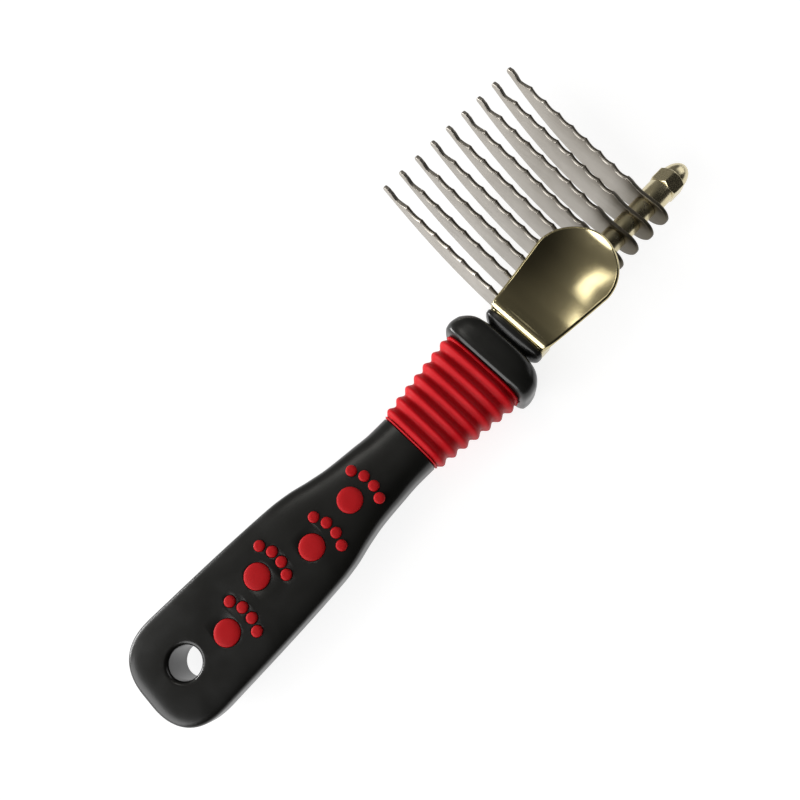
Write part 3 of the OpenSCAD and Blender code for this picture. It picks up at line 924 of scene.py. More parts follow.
def thread_tree() -> GeometryTree:
    """A helical thread crest added to a shaft, cut off level with the shaft's two flats.

    Returns:
        The tree, whose inputs are the thread's sizes in metres.
    """
    gt = GeometryTree("Shaft Thread", {
        "Start": (FLOAT, 0.17), "Length": (FLOAT, 0.014), "Turns": (FLOAT, 17.5),
        "Radius": (FLOAT, 0.0022), "Crest": (FLOAT, 0.0003), "Flat": (FLOAT, 0.0021)})
    helix = gt.add("GeometryNodeCurveSpiral")
    for name, source in (("Resolution", 40), ("Rotations", gt.value("Turns")),
                         ("Start Radius", gt.value("Radius")), ("End Radius", gt.value("Radius")),
                         ("Height", gt.value("Length"))):
        gt.feed(helix.inputs[name], source)
    crest = gt.add("GeometryNodeCurvePrimitiveCircle")
    gt.feed(crest.inputs["Resolution"], 6)
    gt.feed(crest.inputs["Radius"], gt.value("Crest"))
    sweep = gt.add("GeometryNodeCurveToMesh")
    gt.feed(sweep.inputs["Curve"], helix.outputs[0])
    gt.feed(sweep.inputs["Profile Curve"], crest.outputs[0])
    gt.feed(sweep.inputs["Fill Caps"], True)
    place = gt.add("ShaderNodeCombineXYZ")
    gt.feed(place.inputs["X"], gt.value("Start"))
    lay = gt.add("GeometryNodeTransform")
    gt.feed(lay.inputs["Geometry"], sweep.outputs[0])
    gt.feed(lay.inputs["Rotation"], (0.0, math.pi / 2, 0.0))
    gt.feed(lay.inputs["Translation"], place.outputs[0])
    parts = gt.add("ShaderNodeSeparateXYZ")
    gt.feed(parts.inputs[0], gt.add("GeometryNodeInputPosition").outputs[0])
    low = gt.maths("MAXIMUM", parts.outputs["Z"], gt.maths("MULTIPLY", gt.value("Flat"), -1.0))
    level = gt.add("ShaderNodeCombineXYZ")
    gt.feed(level.inputs["X"], parts.outputs["X"])
    gt.feed(level.inputs["Y"], parts.outputs["Y"])
    gt.feed(level.inputs["Z"], gt.maths("MINIMUM", low, gt.value("Flat")))
    cut = gt.add("GeometryNodeSetPosition")
    gt.feed(cut.inputs["Geometry"], lay.outputs[0])
    gt.feed(cut.inputs["Position"], level.outputs[0])
    joined = gt.add("GeometryNodeJoinGeometry")
    gt.feed(joined.inputs[0], gt.value("Geometry"))
    gt.feed(joined.inputs[0], cut.outputs[0])
    gt.close(joined.outputs[0])
    return gt


def row_tree() -> GeometryTree:
    """Places one of a row of equal pieces, Index steps of Pitch along X.

    Returns:
        The tree, whose Pitch is in metres.
    """
    gt = GeometryTree("Blade Row", {"Pitch": (FLOAT, 0.006), "Index": ("NodeSocketInt", 0)})
    shift = gt.add("ShaderNodeCombineXYZ")
    gt.feed(shift.inputs["X"], gt.maths("MULTIPLY", gt.value("Pitch"), gt.value("Index")))
    lay = gt.add("GeometryNodeTransform")
    gt.feed(lay.inputs["Geometry"], gt.value("Geometry"))
    gt.feed(lay.inputs["Translation"], shift.outputs[0])
    gt.close(lay.outputs[0])
    return gt


# ---------------------------------------------------------------- the comb


def span(node: str) -> tuple[Point, Point]:
    """Gives a CAD node's lowest and highest corners at rest, in millimetres."""
    low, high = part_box(node)
    return tuple(v / MM for v in low), tuple(v / MM for v in high)


def box_ring(x: float, width: float, thickness: float) -> Ring:
    """Gives a rectangle across the comb at x."""
    y, z = width / 2, thickness / 2
    return [(x, y, -z), (x, y, z), (x, -y, z), (x, -y, -z)]


@dataclass
class Handle:
    """The black moulded handle with its inlays, ribbed sleeve and neck ferrule."""

    butt_reach: float = -span("handle_core")[0][0]
    butt_half: float = 14.8
    butt_round: float = 2.6
    front: float = 7.0
    back: float = 7.0
    waist_half: float = 9.0
    grip_start: float = 77.6
    collar_start: float = 105.9
    collar_end: float = span("handle_core")[1][0]
    collar_half: float = span("handle_core")[1][1]
    hole_r: float = 4.3
    hole_lip: float = 1.1
    pad_r: float = 3.4
    toe_r: float = 1.45
    pocket_depth: float = 1.2
    pocket_gap: float = 0.06
    inlay_proud: float = 0.7
    sleeve_skin: float = 2.1
    skin_inset: float = 0.05
    rib_count: int = 7
    rib_height: float = 1.1
    rib_start_gap: float = 2.4
    rib_end_gap: float = 2.92
    neck_half: float = 9.6
    head_start: float = span("neck_ferrule")[1][0]
    tang: tuple[float, float, float] = (80.0, 8.0, 5.0)
    tang_gap: float = 0.02
    points: int = 112
    paws: tuple[tuple[float, float], ...] = ((12.4, -2.3), (26.8, 2.4), (41.5, -2.3), (56.4, -0.7))
    toes: tuple[tuple[float, float], ...] = ((5.45, 5.15), (6.8, 1.8), (6.8, -1.75), (5.6, -5.0))

    def body_table(self) -> list[tuple[float, ...]]:
        """Gives the stations of the bare handle, from the hole to the grip."""
        half, front, back, waist = self.butt_half, self.front, self.back, self.waist_half
        return [(0, half, front, back, 3.5, 5, 4),
                (20, half - 0.5, front, back, 3.4, 5, 4),
                (40, half - 1.45, front, back, 3.0, 5, 4),
                (46, half - 2.2, front - 0.05, back, 2.7, 4.8, 3.8),
                (52, half - 3.6, front - 0.1, back + 0.1, 2.2, 4.6, 3.6),
                (58, half - 4.7, front - 0.2, back + 0.2, 1.6, 4.4, 3.5),
                (66, waist + 0.4, front - 0.5, back + 0.3, 0.8, 4, 3.4),
                (72, waist, front - 0.8, back + 0.4, 0, 3.6, 3.3),
                (self.grip_start, waist + 0.05, front - 0.8, back + 0.5, -0.4, 3.4, 3.3)]

    def collar_table(self) -> list[tuple[float, ...]]:
        """Gives the stations of the rounded collar at the end of the grip."""
        x, half, front, back = self.collar_start, self.collar_half, self.front, self.back
        return [(x, half - 0.9, front + 0.7, back + 1.4, -0.8, 4, 5),
                (x + 0.7, half - 0.25, front + 1.2, back + 2.1, -0.8, 4.5, 6),
                (x + 2.4, half, front + 1.3, back + 2.2, -0.8, 5, 6),
                (x + 4.6, half - 0.4, front + 1.3, back + 2.2, -0.8, 5, 6),
                (x + 6.5, half - 1.6, front + 1.25, back + 2.1, -0.6, 4.5, 6),
                (x + 7.9, half - 3.3, front + 1.0, back + 1.4, -0.3, 4, 4.5),
                (self.collar_end, half - 5.6, front - 0.2, back - 0.6, 0, 3.5, 3.5)]

    def skin_table(self, inset: float = 0.0) -> list[tuple[float, ...]]:
        """Gives the stations of the core under the sleeve, moved in from the sleeve's ends."""
        first, last = self.grip_start + inset, self.collar_start - inset
        return [(first, 10.2 - self.sleeve_skin, self.front - 1.8, self.back - 0.6, -0.5, 3.2, 3),
                (last, 13.5 - self.sleeve_skin, self.front - 1.0, self.back + 0.2, -0.8, 3.2, 3)]

    def ring_of(self, row: Sequence[float], grow: float = 0.0) -> Ring:
        """Gives the ring of one station, grown outwards by an amount."""
        x, half, front, back, widest, front_square, back_square = row
        return section(x, half + grow, front + grow, -back - grow, widest,
                       front_square, back_square, self.points)

    def butt_rings(self) -> list[Ring]:
        """Gives the rings of the rounded butt, from its end to the hole's centre."""
        _, half, front, back, widest, front_square, back_square = self.body_table()[0]
        rings = []
        for angle in steps(89.2, 2.0, 26):
            u = math.sin(math.radians(angle))
            in_plan = (1 - u ** self.butt_round) ** (1 / self.butt_round)
            in_height = (1 - u ** (3 * self.butt_round)) ** (1 / (2 * self.butt_round))
            rings.append(section(-self.butt_reach * u, half * in_plan,
                                 widest + (front - widest) * in_height,
                                 widest - (back + widest) * in_height,
                                 widest, front_square, back_square, self.points))
        return rings

    def cutter(self) -> bpy.types.Object:
        """Makes everything that is cut out of the core: hole, pockets and tang slot."""
        tool = MeshPiece("core_cutter")
        bottom, top, lip = -self.back - 2, self.front + 2, self.hole_lip
        arc = [(math.sin(math.radians(a)), math.cos(math.radians(a))) for a in steps(0, 90, 10)]
        profile = [(bottom, 0.0), (bottom, self.hole_r + lip)]
        profile += [(-self.back + lip - lip * s, self.hole_r + lip - lip * c) for s, c in arc[::-1]]
        profile += [(self.front - lip + lip * s, self.hole_r + lip - lip * c) for s, c in arc]
        profile += [(top, self.hole_r + lip), (top, 0.0)]
        tool.revolve(profile, 96, "Z")
        floor, edge = self.front - self.pocket_depth, 0.15
        for paw in self.paws:
            for x, y, radius in self.spots(paw):
                r = radius + self.pocket_gap
                tool.revolve([(floor, 0.0), (floor, r), (self.front - edge, r),
                              (self.front - edge / 3, r + edge / 3), (self.front, r + edge),
                              (top, r + edge), (top, 0.0)], 64, "Z", (x, y, 0))
        length, width, thickness = self.tang
        tool.loft([box_ring(x, width + self.tang_gap, thickness + self.tang_gap)
                   for x in (self.head_start - length - 0.01, self.head_start + 2)])
        return tool.finish()

    def spots(self, paw: tuple[float, float]) -> list[tuple[float, float, float]]:
        """Gives the pad and the toes of one paw as x, y and radius."""
        return [(*paw, self.pad_r)] + [(paw[0] + x, paw[1] + y, self.toe_r) for x, y in self.toes]

    def core(self) -> bpy.types.Object:
        """Builds the moulded core with its hanging hole and pockets.

        Returns:
            The core.
        """
        body, collar = self.body_table(), self.collar_table()
        rings = self.butt_rings()
        rings += [self.ring_of(smooth_row(body, x)) for x in steps(0, self.grip_start, 100)]
        rings += [self.ring_of(row) for row in self.skin_table(self.skin_inset)]
        rings += [self.ring_of(smooth_row(collar, x))
                  for x in steps(self.collar_start, self.collar_end, 30)]
        piece = MeshPiece("moulded_handle")
        piece.loft(rings)
        solid = carve(piece.finish(), self.cutter())
        shade(solid, 40)
        return solid

    def sleeve(self, tree: GeometryTree, finish: bpy.types.Material) -> bpy.types.Object:
        """Builds the ribbed grip sleeve.

        Args:
            tree: the tree that presses the ribs.
            finish: its material.

        Returns:
            The sleeve.
        """
        start, end = self.grip_start + 0.1, self.collar_start - 0.1
        outer = [(self.grip_start, 10.0, self.front - 0.1, self.back + 1.0, -0.5, 3.2, 3),
                 (self.collar_start, 13.6, self.front + 0.7, self.back + 1.6, -0.8, 3.2, 3)]
        inner = self.skin_table()
        rings = [self.ring_of(smooth_row(outer, x)) for x in steps(start, end, 132)]
        rings += [self.ring_of(smooth_row(inner, x), 0.03) for x in (end, start)]
        piece = MeshPiece("ribbed_grip")
        layer = piece.bm.verts.layers.float.new("outer")
        rows = piece.loft(rings, looped=True)
        for row in rows[:-2]:
            for vert in row:
                vert[layer] = 1.0
        return tree.run(piece.finish(60), First=(self.grip_start + self.rib_start_gap) * MM,
                        Last=(self.collar_start - self.rib_end_gap) * MM, Pitch=self.rib_pitch * MM,
                        Height=self.rib_height * MM, Finish=finish)

    @property
    def rib_pitch(self) -> float:
        """Spacing of the ribs along the handle."""
        run = self.collar_start - self.rib_end_gap - self.grip_start - self.rib_start_gap
        return run / (self.rib_count - 1)

    def ferrule(self) -> bpy.types.Object:
        """Builds the neck ferrule between the collar and the casting.

        Returns:
            The ferrule.
        """
        x, half, front, back = self.collar_end + 0.02, self.neck_half, self.front, self.back
        rows = [(x, half - 2.8, front - 1.6, back - 3.5, 3, 3.5, 2.6),
                (x + 0.7, half - 2.5, front - 1.2, back - 3.3, 3, 3.5, 2.6),
                (x + 2.4, half - 0.1, front - 0.3, back - 2.65, 3, 4, 2.6),
                (self.head_start - 0.3, half, front - 0.2, back - 2.6, 3, 4, 2.6),
                (self.head_start - 0.02, half - 0.25, front - 0.4, back - 2.8, 3, 4, 2.6)]
        piece = MeshPiece("neck_ferrule_ring")
        piece.loft([self.ring_of(smooth_row(rows, x)) for x in steps(rows[0][0], rows[-1][0], 40)])
        slot = MeshPiece("slot")
        _, width, thickness = self.tang
        slot.loft([box_ring(x, width + self.tang_gap, thickness + self.tang_gap)
                   for x in (self.collar_end - 2, self.head_start + 2)])
        solid = carve(piece.finish(), slot.finish())
        shade(solid, 40)
        return solid

    def inlays(self, tree: GeometryTree, number: int, finish: bpy.types.Material) -> bpy.types.Object:
        """Builds the five domed inlays of one paw.

        Args:
            tree: the tree that makes an inlay on each point.
            number: which paw, from the butt, starting at 0.
            finish: its material.

        Returns:
            The paw.
        """
        spots = self.spots(self.paws[number])
        mesh = bpy.data.meshes.new("paw")
        mesh.from_pydata([(x * MM, y * MM, self.front * MM) for x, y, _ in spots], [], [])
        radii = mesh.attributes.new("radius", "FLOAT", "POINT")
        radii.data.foreach_set("value", [r * MM for _, _, r in spots])
        host = bpy.data.objects.new(f"paw_{number + 1}", mesh)
        bpy.context.collection.objects.link(host)
        paw = tree.run(host, Proud=self.inlay_proud * MM, Depth=self.pocket_depth * MM, Finish=finish)
        shade(paw, 60)
        return paw

    def build(self, shop: "Workshop") -> None:
        """Builds and delivers every piece of the handle."""
        shop.deliver(self.core(), Slot.HANDLE, "root", "handle_core")
        grip = self.sleeve(rib_tree(), shop.materials[Slot.GRIP])
        shade(grip, 60)
        shop.deliver(grip, Slot.GRIP, "root", "grip_sleeve")
        shop.deliver(self.ferrule(), Slot.HANDLE, "root", "neck_ferrule")
        tree = inlay_tree()
        for number in range(len(self.paws)):
            paw = self.inlays(tree, number, shop.materials[Slot.PAW])
            shop.deliver(paw, Slot.PAW, "root", f"paw_inlay_{number + 1}")


@dataclass
class Head:
    """The pale gold casting: tang, boss, ledge and cupped thumb rest."""

    start: float = span("neck_ferrule")[1][0]
    ledge_end: float = span("blade_1")[0][0]
    end: float = span("head_casting")[1][0]
    neck_half: float = 9.6
    thumb_half: float = 12.1
    widest_at: float = 21.3
    boss_r: float = 6.4
    socket: float = 10.0
    socket_r: float = 2.5
    front: float = 7.0
    tang: tuple[float, float, float] = (80.0, 8.0, 5.0)
    fan_centre: float = 16.0
    fan_power: float = 0.85
    thumb_rim: float = 0.75
    around: int = 200
    across: int = 64

    def line(self) -> list[tuple[float, ...]]:
        """Gives the thumb rest's stations: x, height of the top, cup and thickness."""
        x = self.start
        return [(x, 6.9, 0, 3.0), (x + 1, 7.95, 0, 3.6), (x + 1.7, 8.2, 0.05, 3.0),
                (x + 2.8, 7.95, 0.2, 1.9), (x + 5.3, 7.5, 0.7, 1.4), (x + 9.8, 7.2, 1.35, 1.4),
                (x + 15.8, 7.3, 1.95, 1.5), (x + 21.8, 7.85, 2.25, 1.6),
                (x + 26.8, 9.0, 2.1, 1.6), (x + 30.8, 10.8, 1.4, 1.5), (self.end, 12.4, 0.6, 1.4)]

    def half_width(self, x: float) -> float:
        """Gives the thumb rest's half width at x: a taper, then half an ellipse."""
        widest = self.start + self.widest_at
        if x < widest:
            return self.neck_half + (self.thumb_half - self.neck_half) * (x - self.start) / self.widest_at
        u = min(1.0, (x - widest) / (self.end - widest))
        return self.thumb_half * math.sqrt(1 - u * u)

    def outline(self) -> list[tuple[float, float]]:
        """Gives the thumb rest's plan outline, evenly spaced, as x and y."""
        widest = self.start + self.widest_at
        corner = 1.2
        half = [(self.start, y) for y in steps(0, self.neck_half - corner, 6)]
        half += [(self.start + corner * (1 - math.cos(math.radians(a))),
                  self.neck_half - corner + corner * math.sin(math.radians(a)))
                 for a in steps(15, 90, 5)]
        half += [(x, self.half_width(x)) for x in steps(self.start + corner + 0.8, widest, 20)]
        half += [(widest + (self.end - widest) * math.sin(math.radians(a)),
                  self.thumb_half * math.cos(math.radians(a))) for a in steps(2, 90, 60)]
        loop = half + [(x, -y) for x, y in half[-2:0:-1]]
        return even_loop(loop, self.around)

    def thumb_rest(self) -> bpy.types.Object:
        """Builds the cupped thumb rest with a rounded rim.

        Returns:
            The thumb rest.
        """
        table = self.line()
        plan = self.outline()
        centre = (self.start + self.fan_centre, 0.0)

        def height(x: float, y: float, depth: float) -> float:
            """Gives z at a point, from the front (depth 0) to the back (depth 1)."""
            _, top, cup, thick = smooth_row(table, x)
            return top + cup * (y / self.thumb_half) ** 2 - thick * depth

        rings: list[Ring] = []
        normals = outward(plan)
        rim = self.thumb_rim
        inner = [(x - nx * rim, y - ny * rim) for (x, y), (nx, ny) in zip(plan, normals)]
        spread = [u ** self.fan_power for u in steps(0.02, 1.0, self.across)]

        def fan(depth: float, scales: Iterable[float]) -> None:
            """Adds the rings of one face, each a scaled copy of its outline."""
            for scale in scales:
                flat = [tuple(c + (v - c) * scale for c, v in zip(centre, point)) for point in inner]
                rings.append([(x, y, height(x, y, depth)) for x, y in flat])

        fan(0.0, spread)
        for a in steps(75, -75, 10):
            s, c = math.sin(math.radians(a)), math.cos(math.radians(a))
            ring = []
            for (x, y), (nx, ny) in zip(inner, normals):
                px, py = x + nx * rim * c, y + ny * rim * c
                ring.append((px, py, height(x, y, 0.5 - 0.5 * s)))
            rings.append(ring)
        fan(1.0, spread[::-1])
        piece = MeshPiece("thumb_rest")
        piece.loft(rings)
        return piece.finish()

    def stem(self) -> bpy.types.Object:
        """Builds the ledge, boss and tang behind the thumb rest.

        Returns:
            The stem.
        """
        ledge = MeshPiece("ledge")
        half = self.neck_half - 0.3
        rows = [(self.start + x, half - inset, self.front + 0.2, 3.6 - inset, 3.0, 5, 4)
                for x, inset in ((0, 0.3), (0.1, 0.1), (0.3, 0), (2.0, 0), (3.2, 0), (3.5, 0.1), (3.6, 0.3))]
        ledge.loft([section(x, h, f, -b, w, fs, bs, 96) for x, h, f, b, w, fs, bs in rows])
        boss = MeshPiece("boss")
        length, r = self.ledge_end - self.start, self.boss_r
        boss.revolve([(0, 0), (0, r - 0.3), (0.1, r - 0.1), (0.3, r), (length - 0.3, r),
                      (length - 0.1, r - 0.1), (length, r - 0.3), (length, 0)], 96, "X",
                     (self.start, 0, 0))
        tang = MeshPiece("tang")
        long, width, thick = self.tang
        tang.loft([box_ring(x, width, thick) for x in (self.start - long, self.start + 1)])
        stem = carve(ledge.finish(), boss.finish(), "UNION")
        return carve(stem, tang.finish(), "UNION")

    def build(self, shop: "Workshop") -> None:
        """Builds and delivers the casting."""
        casting = carve(self.thumb_rest(), self.stem(), "UNION")
        socket = MeshPiece("socket")
        deep, r = self.socket + 1, self.socket_r
        socket.revolve([(0, 0), (0, r), (deep, r), (deep, 0)], 64, "X",
                       (self.ledge_end - self.socket, 0, 0))
        casting = carve(casting, socket.finish())
        casting.name = "thumb_rest_casting"
        casting.data.name = casting.name
        shade(casting, 38)
        shop.deliver(casting, Slot.HEAD, "root", "head_casting")


def outward(loop: Sequence[tuple[float, float]]) -> list[tuple[float, float]]:
    """Gives the outward unit normals of a closed plan outline."""
    count = len(loop)
    area = sum(loop[i][0] * loop[(i + 1) % count][1] - loop[(i + 1) % count][0] * loop[i][1]
               for i in range(count))
    side = 1.0 if area > 0 else -1.0
    normals = []
    for i in range(count):
        dx = loop[(i + 1) % count][0] - loop[i - 1][0]
        dy = loop[(i + 1) % count][1] - loop[i - 1][1]
        size = math.hypot(dx, dy) or 1.0
        normals.append((side * dy / size, -side * dx / size))
    return normals


def even_loop(loop: Sequence[tuple[float, float]], count: int) -> list[tuple[float, float]]:
    """Resamples a closed outline at equal steps along its length.

    Args:
        loop: the outline's points, without the first repeated at the end.
        count: number of points wanted.

    Returns:
        The new points, starting from the first.
    """
    closed = list(loop) + [loop[0]]
    runs = [0.0]
    for a, b in zip(closed, closed[1:]):
        runs.append(runs[-1] + math.dist(a, b))
    points, k = [], 0
    for i in range(count):
        want = runs[-1] * i / count
        while runs[k + 1] < want:
            k += 1
        u = (want - runs[k]) / ((runs[k + 1] - runs[k]) or 1.0)
        points.append(tuple(p + (q - p) * u for p, q in zip(closed[k], closed[k + 1])))
    return points


@dataclass
class BladeStack:
    """The flatted shaft with its hooked blades, spacers and end collar."""

    count: int = 9
    start: float = span("blade_1")[0][0]
    thick: float = span("blade_1")[1][0] - span("blade_1")[0][0]
    pitch: float = span("blade_2")[0][0] - span("blade_1")[0][0]
    reach: float = span("blade_1")[1][1]
    root_r: float = 4.9
    root_drop: float = 2.5
    root_front: float = 4.2
    crest_first: tuple[float, float] = (8.0, 5.9)
    crest_step: tuple[float, float] = (5.096, 0.9048)
    crest_count: int = 8
    hollow: float = 1.1
    tip_r: float = 1.0
    tip_z: float = 12.5
    edge_half: float = 0.12
    # share of the painted rim shade that the rounded, unground rims get
    plain_rim_shade: float = 0.3
    bore_r: float = 2.55
    bore_flat: float = 2.15
    shaft_r: float = 2.5
    shaft_flat: float = 2.1
    socket: float = 10.0
    thread_run: float = 15.0
    thread_pitch: float = 0.8
    thread_core: float = 2.12
    spacer_r: float = 3.4
    collar_r: float = 3.95

    def crest(self, i: int) -> tuple[float, float]:
        """Gives the y and z of serration crest i."""
        return (self.crest_first[0] + i * self.crest_step[0],
                self.crest_first[1] + i * self.crest_step[1])

    def outline(self) -> list[tuple[float, float, Rim]]:
        """Gives a blade's outline.

        Returns:
            Points as y, z and how the rim is finished there.
        """
        points: list[tuple[float, float, Rim]] = []

        def plain(y: float, z: float) -> None:
            """Adds a point whose rim is only rounded."""
            points.append((y, z, Rim.ROUNDED))

        for a in steps(90, 270, 36):
            c, s = math.cos(math.radians(a)), math.sin(math.radians(a))
            plain(-self.root_drop + self.root_r * c, (self.root_front if s > 0 else self.root_r) * s)
        hook, bend, end = (6.0, -self.root_r), (29.0, -4.3), (self.reach - 0.7, 11.6)
        for u in steps(0, 1, 44):
            plain(*(hook[k] * (1 - u) ** 2 + 2 * bend[k] * u * (1 - u) + end[k] * u * u for k in (0, 1)))
        for a in steps(-90, 65, 12)[1:]:
            plain(self.reach - self.tip_r + self.tip_r * math.cos(math.radians(a)),
                  self.tip_z + self.tip_r * math.sin(math.radians(a)))
        plain(self.reach - 1.9, self.tip_z + 1.0)
        last = self.crest(self.crest_count - 1)
        neck = (self.reach - 5.0, 11.25)
        for u in steps(0, 1, 8):
            y = self.reach - 2.6 + (neck[0] - self.reach + 2.6) * u
            z = self.tip_z + 0.55 + (neck[1] - self.tip_z - 0.55) * (3 * u * u - 2 * u ** 3)
            plain(y, z)
        for u in steps(0, 1, 7)[1:-1]:
            plain(neck[0] + (last[0] - neck[0]) * u, neck[1] + (last[1] - neck[1]) * u * u)
        for i in range(self.crest_count - 2, -1, -1):
            low, high = self.crest(i), self.crest(i + 1)
            for u in steps(1, 0, 18)[:-1]:
                y, z = low[0] + (high[0] - low[0]) * u, low[1] + (high[1] - low[1]) * u
                dip = self.hollow * math.sin(math.pi * u) ** 0.9
                points.append((y, z - dip, Rim.GROUND))
        first = self.crest(0)
        plain(*first)
        plain(6.6, first[1] - 0.2)
        plain(5.2, self.root_front + 0.75)
        plain(3.8, self.root_front + 0.3)
        plain(2.5, self.root_front + 0.05)
        plain(0.8, self.root_front)
        return points

    def bore(self) -> list[tuple[float, float]]:
        """Gives the double-D hole as y and z."""
        meet = math.asin(self.bore_flat / self.bore_r)
        points = []
        for side in (0.0, math.pi):
            for a in steps(-meet, meet, 20):
                points.append((self.bore_r * math.cos(side + a), self.bore_r * math.sin(side + a)))
        return points

    def blade(self) -> bpy.types.Object:
        """Builds one blade at the first place in the row.

        Returns:
            The blade.
        """
        points = self.outline()
        loop = [(p[0], p[1]) for p in points]
        normals = outward(loop)
        half = self.thick / 2
        profile = [(math.radians(a), k / 3) for k, a in enumerate((0, 32, 62, 90))]
        sides: list[list[Ring]] = [[], []]
        for angle, share in profile:
            for which, side in enumerate((-1, 1)):
                ring = []
                for (y, z, rim), (ny, nz) in zip(points, normals):
                    if rim is Rim.GROUND:
                        inward = rim.value * share
                        out = self.edge_half + (half - self.edge_half) * share
                    else:
                        inward = rim.value * (1 - math.cos(angle))
                        out = half - rim.value * (1 - math.sin(angle))
                    ring.append((self.start + half + side * out, y - ny * inward, z - nz * inward))
                sides[which].append(ring)
        piece = MeshPiece("blade")
        bm = piece.bm
        layer = bm.verts.layers.float.new("edge")
        rows = [[bm.verts.new(p) for p in metres(ring)]
                for ring in sides[0][::-1] + sides[1]]
        # Share of painted shade on each rim row, from the face to the very edge.
        rim_shade_steps = [0.0, 0.35, 0.75, 1.0]
        for row, shade_share in zip(rows, rim_shade_steps + rim_shade_steps[::-1]):
            for vert, (_, _, rim) in zip(row, points):
                vert[layer] = shade_share * (1.0 if rim is Rim.GROUND else self.plain_rim_shade)
        count = len(loop)
        for a, b in zip(rows, rows[1:]):
            for i in range(count):
                j = (i + 1) % count
                bm.faces.new((a[i], a[j], b[j], b[i]))
        bore = self.bore()
        walls = [[bm.verts.new(Vector((x, y, z)) * MM) for y, z in bore]
                 for x in (self.start, self.start + self.thick)]
        for i in range(len(bore)):
            j = (i + 1) % len(bore)
            bm.faces.new((walls[0][i], walls[1][i], walls[1][j], walls[0][j]))
        for row, wall in ((rows[0], walls[0]), (rows[-1], walls[1])):
            edges = [bm.edges.get((r[i], r[(i + 1) % len(r)])) for r in (row, wall) for i in range(len(r))]
            bmesh.ops.triangle_fill(bm, use_beauty=True, edges=edges)
        return piece.finish(30)

    def shaft(self, tree: GeometryTree, finish: bpy.types.Material) -> bpy.types.Object:
        """Builds the flatted shaft with a threaded end.

        Args:
            tree: the tree that adds the thread.
            finish: its material.

        Returns:
            The shaft.
        """
        low, high = span("shaft")
        thread_start = high[0] - self.thread_run
        bar = MeshPiece("flatted_shaft")
        r, core = self.shaft_r, self.thread_core
        bar.revolve([(low[0], 0), (low[0], r - 0.2), (low[0] + 0.2, r), (thread_start - 0.5, r),
                     (thread_start, core), (high[0] - 0.5, core), (high[0], core - 0.5),
                     (high[0], 0)], 72)
        slab = MeshPiece("slab")
        flat = self.shaft_flat
        slab.loft([[(x, 4, -flat), (x, 4, flat), (x, -4, flat), (x, -4, -flat)]
                   for x in (low[0] - 1, high[0] + 1)])
        solid = carve(bar.finish(), slab.finish(), "INTERSECT")
        run = self.thread_run - 1.2
        solid = tree.run(solid, Start=(thread_start + 0.3) * MM, Length=run * MM,
                         Turns=run / self.thread_pitch, Radius=(core + 0.1) * MM,
                         Crest=(r - core - 0.12) * MM, Flat=(flat - 0.02) * MM, Finish=finish)
        shade(solid, 30)
        return solid

    def tube(self, tree: GeometryTree, name: str, node: str, radius: float,
             finish: bpy.types.Material) -> bpy.types.Object:
        """Builds a turned tube that fills a CAD node's length.

        Args:
            tree: the tube tree.
            name: the piece's name.
            node: the CAD node.
            radius: its outer radius.
            finish: its material.

        Returns:
            The tube.
        """
        low, high = span(node)
        host = bpy.data.objects.new(name, bpy.data.meshes.new(name))
        bpy.context.collection.objects.link(host)
        piece = tree.run(host, Start=low[0] * MM, Length=(high[0] - low[0]) * MM, Outer=radius * MM,
                         Bore=self.bore_r * MM, Edge=0.22 * MM, Finish=finish)
        shade(piece, 40)
        return piece

    def build(self, shop: "Workshop") -> None:
        """Builds and delivers the shaft and everything stacked on it."""
        shaft = self.shaft(thread_tree(), shop.materials[Slot.SHAFT])
        shop.deliver(shaft, Slot.SHAFT, "root", "shaft")
        pattern, row, tubes = self.blade(), row_tree(), tube_tree()
        steel, plate = shop.materials[Slot.BLADE], shop.materials[Slot.FITTINGS]
        for k in range(self.count):
            host = bpy.data.objects.new(f"hooked_blade_{k + 1}", pattern.data.copy())
            bpy.context.collection.objects.link(host)
            blade = row.run(host, Pitch=self.pitch * MM, Index=k, Finish=steel)
            shop.deliver(blade, Slot.BLADE, f"blade_{k + 1}", f"blade_{k + 1}")
        bpy.data.objects.remove(pattern)
        for k in range(1, self.count):
            tube = self.tube(tubes, f"turned_spacer_{k}", f"spacer_{k}", self.spacer_r, plate)
            shop.deliver(tube, Slot.FITTINGS, f"spacer_{k}", f"spacer_{k}")
        collar = self.tube(tubes, "turned_collar", "end_collar", self.collar_r, plate)
        shop.deliver(collar, Slot.FITTINGS, "end_collar", "end_collar")


